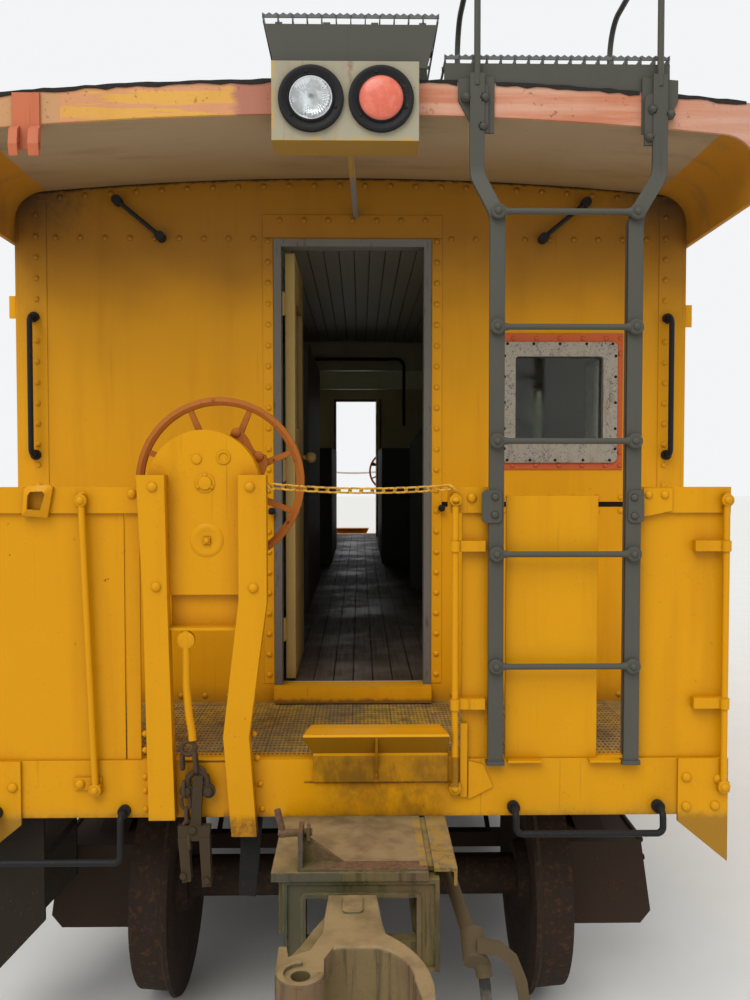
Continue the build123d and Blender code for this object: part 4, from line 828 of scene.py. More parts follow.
        # rows: x of both ends of each stretch between the lights and the ladder's brackets
        for start, stop in ((-1.34, -0.264), (0.229, 0.358), (0.490, 0.976), (1.108, 1.34)):
            rings = []
            for x, _, _ in evenly((start, 0, 0), (stop, 0, 0), 0.035):
                top = arched(CROWN, x)
                drop = dice.uniform(0.004, 0.014)
                lift = dice.uniform(0.002, 0.006)
                face, back, seat = ROOF_Y - 0.0005, ROOF_Y + 0.040, top + 0.0005
                section = [(face - 0.0025, top - drop), (face - 0.0025, top + lift), (back, top + lift),
                           (back, seat), (face, seat), (face, top - drop)]
                rings.append([Vector((x, y, z)) for y, z in section])
            shape.skin(rings)
        return shape


class CABOOSE_OT_wall_rivets(Fitting, bpy.types.Operator):
    """Strips and rivet rows of the end walls, and the side walls' rivets and battens"""
    bl_idname = "caboose.wall_rivets"
    bl_label = "Wall rivets"

    def execute(self, context):
        sizes = context.scene.caboose_sizes
        rivets, strips = self.end_wall(sizes)
        both_ends(strips, "wall_strips", finish_for("wall"), "yellow_paint", bevel=0.0008)
        both_ends(rivets, "wall_rivets", finish_for("wall"), "yellow_paint")
        both_ends(self.pad_rivets(sizes), "pad_rivets", finish_for("coral"), "yellow_paint")
        rows, battens = self.side_wall(sizes)
        for shape, name, bevel in ((rows, "side_rivets", 0.0), (battens, "side_battens", 0.0015)):
            make(shape, f"right_{name}", "body", finish_for("wall"), "yellow_paint", bevel)
            make(shape.half_turned(), f"left_{name}", "body", finish_for("wall"), "yellow_paint", bevel)
        return {"FINISHED"}

    def end_wall(self, sizes):
        rivets, strips = Shape(), Shape()
        pitch, near, far, proud = sizes.rivet_pitch, 0.349, 1.300, 0.0025
        # rows: x of both edges, z of both ends of the strips beside and over the door and at the corners
        for x0, x1, z0, z1 in ((-0.371, -0.328, 1.222, 3.072), (0.328, 0.371, 1.222, 3.072),
                               (-0.371, 0.371, 3.074, 3.168), (-1.372, -1.257, 1.150, 3.226),
                               (1.273, 1.372, 1.150, 3.226)):
            strips.block((x0, WALL_Y - proud, z0), (x1, WALL_Y + 0.001, z1))
        flat = [Vector((x, 0, arched(SOFFIT, x) - 0.030))
                for x, _, _ in evenly((-1.2, 0, 0), (1.2, 0, 0), pitch)]
        seated = evenly((-0.30, 0, 3.145), (0.30, 0, 3.145), pitch)
        for side in (-1, 1):
            flat += evenly((side * (near + 0.06), 0, 3.07), (side * 1.22, 0, 3.07), pitch)
            seated += evenly((side * near, 0, 3.06), (side * near, 0, 1.26), 0.084)
            seated += evenly((side * far, 0, 3.16), (side * far, 0, 1.20), 0.087)
            for z in BELT_ROWS:
                flat += evenly((side * 0.43, 0, z), (side * 1.22, 0, z), 0.103)
            flat += evenly((side * 0.42, 0, 1.172), (side * 1.22, 0, 1.172), 0.100)
        for places, seat in ((flat, 0.0), (seated, proud)):
            for place in places:
                over_pad = (abs(place.x - WINDOW_PAD[0]) < WINDOW_PAD[2] / 2 + 0.012
                            and abs(place.z - WINDOW_PAD[1]) < WINDOW_PAD[3] / 2 + 0.012)
                if not over_pad:
                    rivets.stud((place.x, WALL_Y - seat, place.z), OUTWARD, sizes.rivet_radius,
                                sizes.rivet_height)
        return rivets, strips

    def pad_rivets(self, sizes):
        """Rivets of the plate around the window, in its own colour."""
        shape = Shape()
        # rows: x and z
        places = [(x, z) for z in (2.664, 2.135) for x in (1.114, 1.054, 0.957, 0.860, 0.763, 0.666)]
        places += [(1.114, 2.600), (1.114, 2.190)]
        for x, z in places:
            shape.stud((x, WALL_Y - 0.004, z), OUTWARD, 0.8 * sizes.rivet_radius, 0.8 * sizes.rivet_height)
        return shape

    def side_wall(self, sizes):
        rows, battens = Shape(), Shape()
        panels = 6
        span = -2 * INNER_Y
        seams = [INNER_Y + span * index / panels for index in range(1, panels)]
        top, bottom = 3.025, 1.06
        places = []
        for z in (top, *BELT_ROWS, bottom):
            places += evenly((0, INNER_Y, z), (0, -INNER_Y, z), sizes.rivet_pitch)
        for y in (*seams, WALL_Y + 0.045, -WALL_Y - 0.045):
            places += evenly((0, y, top - 0.05), (0, y, bottom + 0.05), 0.088)
        for place in places:
            beside_window = any(abs(place.y - y) < 0.37 and abs(place.z - 2.38) < 0.42
                                for y in (-3.3, -1.5, 3.3))
            seat = 0.004 if any(abs(place.y - y) < 0.02 for y in seams) else 0.0
            if not beside_window:
                rows.stud((SIDE_X + seat, place.y, place.z), (1, 0, 0), sizes.rivet_radius,
                          sizes.rivet_height)
        for y in seams:
            battens.block((SIDE_X - 0.002, y - 0.03, bottom - 0.02), (SIDE_X + 0.004, y + 0.03, top + 0.02))
        return rows, battens


class CABOOSE_OT_windows(Fitting, bpy.types.Operator):
    """Dull metal window frames with their screws and seals, and dusty panes tinted dark as painted shade"""
    bl_idname = "caboose.windows"
    bl_label = "Windows"

    def execute(self, context):
        paints = context.scene.caboose_paints
        paint(self.pitted(tuple(paints.trim)), "window_frames")
        f = Finish("dusty glass with painted shade")
        dust = f.ramp(f.noise(5.0, 5.0, 0.6), 0.40, 0.75)
        # The panes' dark olive tint: dust, and painted shade that dims the cabin seen through them
        glass = f.finish((0.50, 0.53, 0.45), 0.04 + dust * 0.16, transmission_weight=1.0, ior=1.45)
        paint(glass, "window_glass", "front_door_glass", "rear_door_glass")
        seal = weathered("window seal", linear("1B1A18"), "trim")
        screws = Shape()
        # rows: x and z, round the frame as seen from outside
        places = [(x, 2.640) for x in (0.642, 0.751, 0.860, 0.971, 1.080)]
        places += [(1.093, z) for z in (2.590, 2.504, 2.397, 2.289, 2.205)]
        places += [(x, 2.158) for x in (0.642, 0.738, 0.842, 0.959, 1.070)]
        places += [(0.630, z) for z in (2.590, 2.504, 2.397, 2.289, 2.205)]
        for x, z in places:
            screws.stud((x, FRAME_Y, z), OUTWARD, 0.0065, 0.0025)
        both_ends(screws, "window_screws", seal, "black_iron")
        both_ends(self.seal(), "window_seal", seal, "black_iron")
        return {"FINISHED"}

    def pitted(self, colour):
        """Dull cast metal with dark pits and rusty weeping."""
        f = Finish("window trim")
        cloud = f.noise(14.0, 5.0, 0.6)
        pits = f.ramp(f.noise(170.0, 4.0, 0.65, 3.0) + cloud * 0.25, 0.70, 0.76)
        brown = f.ramp(f.noise((26.0, 26.0, 7.0), 5.0, 0.65, 6.0), 0.52, 0.68)
        shade = f.layers(colour, [
            (f.ramp(cloud, 0.4, 0.65) * 0.5, linear("A39C92")),
            (brown * 0.35, linear("7A5C48")),
            (pits * 0.75, linear("4B423B")),
        ])
        return f.finish(shade, 0.50 + cloud * 0.2 - 0.1, cloud - pits * 1.2, 0.0009, metallic=0.25)

    def seal(self):
        """The dark rubber between the frame and the pane, rounded at its corners."""
        rim = Shape()
        x, z, wide, tall = WINDOW
        half_wide, half_tall, bend = wide / 2 - 0.004, tall / 2 - 0.004, 0.030
        route = []
        for corner_x, corner_z, start in ((1, 1, 0), (-1, 1, 90), (-1, -1, 180), (1, -1, 270)):
            for step in range(5):
                turn = math.radians(start + 22.5 * step)
                route.append((x + corner_x * (half_wide - bend) + bend * math.cos(turn), WALL_Y + 0.010,
                              z + corner_z * (half_tall - bend) + bend * math.sin(turn)))
        rim.bar(route, 0.006, 8, loop=True)
        return rim


class CABOOSE_OT_cabin(Fitting, bpy.types.Operator):
    """Doors, door frames, lockers, floor boards and the boarded ceiling"""
    bl_idname = "caboose.cabin"
    bl_label = "Cabin"

    def execute(self, context):
        paints = context.scene.caboose_paints
        sizes = context.scene.caboose_sizes
        lockers = weathered("locker grey", tuple(paints.lockers), "cabin")

        def frame_zones(f):
            plank = (f.along("Z") < FLOOR_TOP + 0.001) * (abs(f.along("Y")) > -WALL_Y + 0.001)
            low_edge = plank * f.ramp(f.along("Z") + f.noise(30.0, 5.0) * 0.03, 1.190, 1.172)
            spots = f.ramp(f.noise((60.0, 60.0, 9.0), 4.0, 0.65, 4.0), 0.60, 0.68)
            return [(spots * 0.6, linear("3B3833")), (plank, tuple(paints.wall)),
                    (low_edge * 0.8, linear("6B4A2E"))]

        frames = weathered("door frame", linear("6F6C64"), "trim", frame_zones)
        pipe = weathered("grab pipe", tuple(paints.iron), "iron")
        door = weathered("door cream", tuple(paints.door), "cabin")
        paint(door, "front_door", "rear_door")
        paint(lockers, "interior_lockers")
        paint(frames, "door_frames")
        paint(pipe, "cupola_grab_pipe")
        paint(self.boards(tuple(paints.boards), sizes.board_width), "interior_floor")
        cream = weathered("ceiling boards", linear("D2CAB4"), "cabin")
        make(self.ceiling(sizes.board_width), "ceiling_boards", "body", cream, "cream_paint")
        return {"FINISHED"}

    def boards(self, colour, width):
        """Dark worn boards along the car, polished where people walk."""
        f = Finish("floor boards")
        across = f.along("X") % width
        gap = f.ramp(abs(across - width / 2), width / 2 - 0.004, width / 2 - 0.001)
        grain = f.noise((70.0, 3.0, 70.0), 5.0, 0.6)
        worn = f.ramp(f.noise(2.0, 5.0, 0.6, 3.0), 0.40, 0.65)
        shade = f.layers(colour, [
            (f.ramp(grain, 0.35, 0.65) * 0.6, linear("1F1712")),
            (worn * 0.55, linear("6A5A4B")),
            (gap, linear("0D0A08")),
        ])
        return f.finish(shade, 0.52 - worn * 0.22 + grain * 0.15, grain * 0.6 - gap * 2, 0.0012)

    def ceiling(self, width):
        """Boards under the roof, along the car, with an open joint between them."""
        shape = Shape()
        count = int(INNER_X / width)
        for index in range(-count, count):
            x0, x1 = index * width + 0.003, (index + 1) * width - 0.003
            for y0, y1 in ((INNER_Y + 0.01, CUPOLA_START - 0.01), (CUPOLA_END + 0.01, -INNER_Y - 0.01)):
                z0, z1 = arched(SOFFIT, x0), arched(SOFFIT, x1)
                ring = [(x0, z0 - 0.012), (x1, z1 - 0.012), (x1, z1 - 0.002), (x0, z0 - 0.002)]
                shape.plate(ring, y0, y1)
        return shape


class CABOOSE_OT_railings(Fitting, bpy.types.Operator):
    """Railings and end sills with their domed bolts, rivets and the left rail's loop bracket"""
    bl_idname = "caboose.railings"
    bl_label = "Railings"

    def execute(self, context):
        paints = context.scene.caboose_paints
        sizes = context.scene.caboose_sizes

        def zones(f):
            across, z = across_end(f), f.along("Z")
            ragged = f.noise(30.0, 5.0, 0.7, 14.0)
            drips = f.noise((8.0, 8.0, 4.5), 6.0, 0.68, 17.0)
            on_sill = (z < 1.145) * (abs(f.along("Y")) > -SILL_Y - 0.002)
            under_plate = f.ramp(across, -0.20, 0.02) * f.ramp(across, 0.38, 0.26)
            stain = under_plate * f.ramp(z, 1.165, 1.130) * f.ramp(drips + ragged * 0.25, 0.40, 0.86)
            weld = (across > -0.16) * (across < 0.326) * f.ramp(abs(z - 1.068) + ragged * 0.012, 0.013, 0.006)
            plate = (across > -0.19) * (across < 0.36) * (abs(f.along("Y")) > -SILL_Y + 0.003)
            # Painted shade under the crossover plate's lip
            lip_underside_shade = plate * f.ramp(f.facing("Z"), -0.05, -0.30) * (z > 1.10)
            # Painted shade on the crossover plate's face under its lip, with drip stains
            face = plate * (z < 1.160) * (z > 1.06)
            peeled = (across < -0.27) * (across > -0.43) * f.ramp(z + ragged * 0.06, 1.015, 0.985)
            seam = (across > -0.57) * (across < -0.42) * on_sill * f.ramp(abs(z - 1.140), 0.005, 0.002)
            low_edge = f.ramp(z + ragged * 0.05, 0.995, 0.965) * on_sill
            holds = f.ramp(z + f.noise(6.0, 5.0) * 0.10, 1.05, 0.97) * (abs(across) > 0.55) * on_sill
            post_backs = (abs(f.along("Y")) < -SILL_Y - 0.03) * f.ramp(z, 1.30, 1.15)
            return [
                (stain * 0.75, linear("6A4A1E")),
                (lip_underside_shade * 0.70, linear("6B4A10")),
                (face * (0.35 + f.ramp(drips, 0.40, 0.62) * 0.35), linear("6A4C14")),
                (peeled * f.ramp(ragged, 0.40, 0.55) * 0.7, linear("8A5A1C")),
                (holds * 0.35, linear("7C7440")),
                (low_edge * 0.45, linear("6B4A1E")),
                (weld * 0.8 * on_sill, linear("5E3A1C")),
                (seam * 0.8, linear("3A2A14")),
                (post_backs * 0.4, linear("7A5C28")),
            ]

        yellow = weathered("platform yellow", tuple(paints.platform), "platform", zones)
        FINISHES["platform"] = yellow
        paint(yellow, "end_railings", "end_sills", "brake_stands")
        both_ends(self.bolts(sizes.bolt_radius), "railing_bolts", yellow, "yellow_paint")
        both_ends(self.strap(), "rail_loop", yellow, "yellow_paint", bevel=0.0012)
        return {"FINISHED"}

    def bolts(self, radius):
        """Domed bolts of the rails, posts and sill, the posts' rivets, the stays' eyes and a gusset."""
        shape = Shape()
        corner = SILL_Y - CORNER_PLATE
        # rows: x, z, y of the face, radius
        bolts = [
            (-0.649, 2.063, POST_Y, radius), (-0.331, 2.063, POST_Y, radius), (-0.639, 1.735, POST_Y, radius),
            (-0.321, 1.731, POST_Y, radius), (-0.726, 2.039, RAIL_Y, radius), (-0.890, 2.031, RAIL_Y, radius),
            (0.403, 2.025, RAIL_Y, radius), (-0.906, 1.068, SILL_Y - 0.008, radius),
            (-1.130, 1.058, corner, radius), (1.132, 1.081, corner, radius), (1.240, 1.075, corner, radius),
            (1.132, 0.981, corner, radius), (1.230, 0.984, corner, radius),
            (0.994, 2.035, RAIL_Y - 0.006, 0.8 * radius), (1.048, 2.035, RAIL_Y - 0.006, 0.8 * radius),
        ]
        for x, z, y, size in bolts:
            shape.stud((x, y, z), OUTWARD, size, 0.6 * size, 14)
        rivet = 0.011
        for z in (1.235, 1.180, 1.089, 1.042, 0.979):
            shape.stud((-0.690, SILL_Y, z), OUTWARD, rivet, 0.007)
        for x, z in ((-0.327, 1.233), (-0.316, 1.151), (-0.306, 1.063), (-0.300, 0.978)):
            shape.stud((x, SILL_Y, z), OUTWARD, rivet, 0.007)
        stay_front = SILL_Y - CORNER_PLATE - 0.022
        # rows: x and z of the flattened eyes at the stays' heads and feet
        eyes = [(-0.889, 2.018), (0.347, 2.018), (SILL_HALF - 0.020, 2.018),
                (-0.852, 1.053), (0.347, 1.053), (SILL_HALF - 0.020, 1.053)]
        eye = [(-0.012, 0.020), (-0.001, 0.021), (0.002, 0.018)]
        for x, z in eyes:
            shape.turned(eye, (x, stay_front, z), OUTWARD, 20)
            shape.stud((x, stay_front - 0.001, z), OUTWARD, 0.0135, 0.009, 14)
        gusset = [(0.977, 2.058), (1.075, 2.058), (1.076, 1.982), (0.978, 1.962)]
        shape.plate(gusset, RAIL_Y - 0.006, RAIL_Y)
        return shape

    def strap(self):
        """A flat strap bent into a loop on the left rail, with an open middle."""
        shape = Shape()
        face = RAIL_Y - 0.001
        outer = [(-1.086, 1.967), (-1.078, 2.055), (-1.066, 2.066), (-0.992, 2.070), (-0.982, 2.062),
                 (-1.001, 1.960)]
        inner = [(-1.063, 1.990), (-1.060, 2.034), (-1.052, 2.046), (-1.012, 2.048), (-1.004, 2.038),
                 (-1.020, 1.986)]
        rings = []
        for (ax, az), (bx, bz) in zip(outer, inner):
            rings.append([Vector((ax, face - 0.012, az)), Vector((bx, face - 0.030, bz)),
                          Vector((bx, face - 0.018, bz)), Vector((ax, face, az))])
        shape.skin(rings, loop=True)
        return shape


class CABOOSE_OT_hand_brakes(Fitting, bpy.types.Operator):
    """Hand brake wheels and pawls, the bosses of their gear housings, and the rods and chains under them"""
    bl_idname = "caboose.hand_brakes"
    bl_label = "Hand brakes"

    def execute(self, context):
        paints = context.scene.caboose_paints
        yellow = finish_for("platform")
        flaking = weathered("hand wheel red", tuple(paints.wheel), "flaking")
        paint(flaking, "front_brake_wheel", "rear_brake_wheel")
        both_ends(self.bosses(), "housing_bosses", yellow, "yellow_paint")
        both_ends(self.pawl(), "brake_pawl", flaking, "red_iron", bevel=0.0015)
        chain = both_ends(self.rigging(), "brake_chain", finish_for("rusted"), "rusty_iron")
        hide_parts("brake_rigging")
        both_ends(self.clevis(), "brake_clevis", finish_for("iron_olive"), "rusty_iron", bevel=0.0015)
        both_ends(self.rod(), "brake_rod", yellow, "yellow_paint")
        return {"FINISHED"}

    def bosses(self):
        """Worn bosses, a pivot with three nuts and a dished plate on the housing's face."""
        shape = Shape()
        plug = [(-0.004, 0.017), (0.003, 0.016), (0.005, 0.010), (0.005, 0.003)]
        shape.turned(plug, (-0.512, SILL_Y, 2.154), OUTWARD, 20)
        cup = [(-0.004, 0.024), (0.003, 0.023), (0.004, 0.017), (0.0005, 0.014)]
        shape.turned(cup, (-0.423, SILL_Y, 2.160), OUTWARD, 24)
        shape.turned([(-0.004, 0.034), (0.002, 0.033), (0.003, 0.024), (0.008, 0.022), (0.010, 0.010)],
                     (-0.485, SILL_Y, 2.075), OUTWARD, 24)
        for turn in (90, 210, 330):
            x = -0.485 + 0.026 * math.cos(math.radians(turn))
            z = 2.075 + 0.026 * math.sin(math.radians(turn))
            shape.stud((x, SILL_Y - 0.002, z), OUTWARD, 0.008, 0.005)
        dish = [(-0.001, 0.060), (0.0015, 0.052), (0.0035, 0.046), (0.0038, 0.043), (0.001, 0.034),
                (0.0004, 0.026), (0.0004, 0.010)]
        shape.turned(dish, (-0.480, SILL_Y, 1.884), OUTWARD, 32)
        shape.block((-0.492, SILL_Y - 0.007, 1.872), (-0.468, SILL_Y, 1.896))
        shape.turned([(0.006, 0.009), (0.010, 0.009), (0.012, 0.006)], (-0.480, SILL_Y, 1.884), OUTWARD, 12)
        for x in (-0.655, -0.325):
            shape.stud((x, SILL_Y, 2.02), OUTWARD, 0.010, 0.005)
        return shape

    def pawl(self):
        """The pawl and its weight, on the housing's back beside the wheel."""
        shape = Shape()
        back = SILL_Y + 0.088
        outline = [(-0.402, 2.262), (-0.380, 2.262), (-0.352, 2.226), (-0.332, 2.186), (-0.292, 2.170),
                   (-0.283, 2.142), (-0.298, 2.104), (-0.316, 2.076), (-0.350, 2.080), (-0.352, 2.150),
                   (-0.390, 2.200), (-0.418, 2.232)]
        shape.plate(outline, back, back + 0.008)
        for x, z, radius in ((-0.394, 2.246, 0.016), (-0.317, 2.166, 0.017), (-0.322, 2.096, 0.014)):
            shape.turned([(0, radius), (0.006, radius), (0.012, 0.7 * radius), (0.014, 0.3 * radius)],
                         (x, back + 0.002, z), OUTWARD, 16)
        return shape

    def rod(self):
        """The bent rod that the chain pulls, with its eye."""
        shape = Shape()
        y = SILL_Y - 0.018
        route = [(-0.548, y, 1.586), (-0.548, y, 1.46), (-0.547, y - 0.004, 1.40), (-0.537, y - 0.012, 1.30),
                 (-0.528, y - 0.014, 1.250), (-0.526, y - 0.014, 1.222)]
        shape.bar(route, 0.0135, 14)
        shape.turned([(-0.012, 0.024), (-0.009, 0.030), (0.009, 0.030), (0.012, 0.024)], (-0.548, y, 1.554),
                     OUTWARD, 22)
        return shape

    def rigging(self):
        """The rusted ring and the long links that hang from the rod."""
        shape = Shape()
        y = SILL_Y - 0.034
        shape.ring((-0.540, y, 1.196), (1, 0, 0), (0, 0, 1), 0.062, 0.060, 0.008)
        shape.ring((-0.515, y - 0.004, 1.150), (0.10, 0, -1), (0, 1, 0), 0.078, 0.040, 0.0075)
        shape.ring((-0.500, y, 1.104), (0.16, 0, -1), (1, 0, 0), 0.070, 0.042, 0.0075)
        shape.ring((-0.560, y, 1.150), (0.05, 0, -1), (0, 1, 0), 0.060, 0.036, 0.007)
        for index in range(5):
            z = 1.062 - 0.044 * index
            across = (1, 0, 0) if index % 2 else (0, 1, 0)
            place = (-0.553 + 0.004 * index, y - 0.006, z)
            shape.ring(place, (0.06, 0, -1), across, 0.060, 0.040, 0.0065)
        return shape

    def clevis(self):
        """The shackle with its two nuts, the flat bar that it carries and the fork at its end."""
        shape = Shape()
        y = SILL_Y - 0.034
        # rows: x and z
        bow = [(-0.546, 1.054), (-0.540, 1.100), (-0.510, 1.128), (-0.480, 1.100), (-0.473, 1.054)]
        shape.bar([(x, y, z) for x, z in bow], 0.011, 12)
        for x in (-0.546, -0.473):
            shape.bolt((x, y - 0.006, 1.054), OUTWARD, 0.016, 0.014)
            shape.turned([(-0.014, 0.019), (0.010, 0.019)], (x, y, 1.054), OUTWARD, 16)
        flat_bar = [(-0.522, 1.108), (-0.490, 1.108), (-0.498, 0.930), (-0.534, 0.926)]
        shape.plate(flat_bar, y - 0.014, y - 0.004)
        shape.bolt((-0.524, y - 0.014, 0.928), OUTWARD, 0.014, 0.012)
        left_tine = [(-0.574, 0.900), (-0.538, 0.905), (-0.530, 0.756), (-0.560, 0.750)]
        right_tine = [(-0.504, 0.905), (-0.468, 0.900), (-0.464, 0.738), (-0.494, 0.735)]
        for near in (y - 0.020, y + 0.006):
            shape.plate(left_tine, near, near + 0.009)
            shape.plate(right_tine, near, near + 0.009)
        neck = [(-0.574, 0.940), (-0.466, 0.940), (-0.470, 0.890), (-0.572, 0.890)]
        shape.plate(neck, y - 0.018, y + 0.010)
        for x, z in ((-0.556, 0.776), (-0.478, 0.760)):
            shape.bar([(x, y - 0.030, z), (x, y + 0.026, z)], 0.011, 12)
        return shape


class CABOOSE_OT_safety_chains(Fitting, bpy.types.Operator):
    """Yellow chains across the platforms' openings"""
    bl_idname = "caboose.safety_chains"
    bl_label = "Safety chains"

    def execute(self, context):
        sizes = context.scene.caboose_sizes
        f = Finish("chain yellow")
        wear = f.ramp(f.noise(90.0, 4.0, 0.6), 0.52, 0.64)
        colour = f.mix(wear * 0.7, linear("D9A02A"), linear("6B4A22"))
        links = f.finish(colour, 0.42 + wear * 0.3, f.noise(200.0, 2.0), 0.0004)
        shape = Shape()
        left, right = Vector((-0.262, SILL_Y - 0.022, 2.066)), Vector((0.330, SILL_Y - 0.024, 2.062))
        hang = 0.014
        pitch = sizes.link_length - 2 * sizes.link_bar
        count = round((right - left).length / pitch)
        for index in range(count):
            here = (index + 0.5) / count
            slope = 4 * hang * (2 * here - 1) / (right - left).length
            place = left.lerp(right, here) - Vector((0, 0, 4 * hang * here * (1 - here)))
            lean = 1 if index % 2 else -1
            across = Vector((0, math.cos(math.radians(45)), lean * math.sin(math.radians(45))))
            shape.ring(place, (1, 0, slope), across, sizes.link_length, 0.028, sizes.link_bar / 2)
        left_hook = [(-0.277, -0.004, 2.072), (-0.277, 0.026, 2.072), (-0.272, 0.036, 2.064),
                     (-0.262, 0.034, 2.052), (-0.252, 0.022, 2.058)]
        right_hook = [(0.347, 0.034, 2.050), (0.336, 0.038, 2.062), (0.326, 0.028, 2.068)]
        for hook in (left_hook, right_hook):
            shape.bar([(x, SILL_Y - out, z) for x, out, z in hook], 0.0045, 10)
        chain = both_ends(shape, "chain", links, "yellow_paint")
        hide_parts("safety_chains")
        return {"FINISHED"}


class CABOOSE_OT_ladders(Fitting, bpy.types.Operator):
    """Ladders with their rung eyes, plates and bolts, and the grab irons"""
    bl_idname = "caboose.ladders"
    bl_label = "Ladders and irons"

    def execute(self, context):
        paints = context.scene.caboose_paints
        grey = weathered("ladder grey", tuple(paints.ladder), "ladder")
        black = weathered("black iron", tuple(paints.iron), "iron")
        FINISHES["ladder"], FINISHES["iron"] = grey, black
        paint(grey, "ladders")
        paint(black, "grab_irons")
        shape = Shape()
        self.rung_ends(shape)
        self.rail_plates(shape)
        self.brackets(shape)
        both_ends(shape, "ladder_bolts", grey, "blue_grey_iron", bevel=0.001)
        knobs = Shape()
        for x, z in ((-1.144, 1.943), (-0.335, 1.947), (0.369, 1.959)):
            profile = [(0, 0.008), (0.014, 0.008), (0.018, 0.014), (0.030, 0.015), (0.036, 0.008)]
            knobs.turned(profile, (x, WALL_Y + 0.001, z), OUTWARD, 16)
        both_ends(knobs, "wall_knobs", black, "black_iron")
        return {"FINISHED"}

    def rung_ends(self, shape):
        """The forged eye and the domed bolt at each end of each rung."""
        left, right = LADDER
        face = SILL_Y - 0.044
        eye = [(-0.012, 0.024), (-0.002, 0.026), (0.002, 0.022)]
        neck = [(0, 0.0155), (0.010, 0.0125), (0.022, 0.0105)]
        for index in range(5):
            z = RUNG_START + RUNG_PITCH * index
            for x, inward in ((left, 1), (right, -1)):
                shape.turned(eye, (x, face, z), OUTWARD, 20)
                shape.stud((x, face - 0.002, z), OUTWARD, 0.0125, 0.010, 12)
                shape.turned(neck, (x + inward * 0.018, face + 0.010, z), (inward, 0, 0), 14)

    def rail_plates(self, shape):
        """Plates that clamp the stiles to the top rail, and the angle irons' inner legs."""
        left, right = LADDER
        face = SILL_Y - 0.034
        # rows: x of both edges, then x and z of the two bolts
        for x0, x1, bolts in ((0.433, 0.500, ((0.477, 2.029), (0.476, 1.970))),
                              (0.919, 0.972, ((0.939, 2.027), (0.940, 1.966)))):
            cut = 0.010
            outline = [(x0 + cut, 1.943), (x1 - cut, 1.943), (x1, 1.943 + cut), (x1, 2.052 - cut),
                       (x1 - cut, 2.052), (x0 + cut, 2.052), (x0, 2.052 - cut), (x0, 1.943 + cut)]
            shape.plate(outline, face, face + 0.006)
            for x, z in bolts:
                shape.stud((x, face, z), OUTWARD, 0.0125, 0.009, 14)
        for x0, x1 in ((left + 0.018, left + 0.025), (right - 0.025, right - 0.018)):
            shape.block((x0, SILL_Y - 0.020, 1.160), (x1, SILL_Y + 0.012, 2.940))

    def brackets(self, shape):
        """Bolts of the roof brackets, and the cover plates at the tops of the stiles."""
        gusset = ROOF_Y - 0.008
        bolts = [(0.386, 3.367), (0.449, 3.367), (0.443, 3.271), (1.016, 3.330), (1.077, 3.315),
                 (1.006, 3.238)]
        for x, z in bolts:
            shape.stud((x, gusset - 0.014, z), OUTWARD, 0.0125, 0.011, 14)
            shape.turned([(0, 0.017), (0.014, 0.017)], (x, gusset, z), OUTWARD, 6)
        for centre, z0, z1 in ((0.4385, 3.250, 3.395), (1.013, 3.212, 3.360)):
            half = 0.024
            outline = [(centre - half, z0), (centre + half, z0)]
            for step in range(7):
                turn = math.pi * step / 6
                outline.append((centre + half * math.cos(turn), z1 + half * math.sin(turn)))
            shape.plate(outline, gusset - 0.010, gusset)


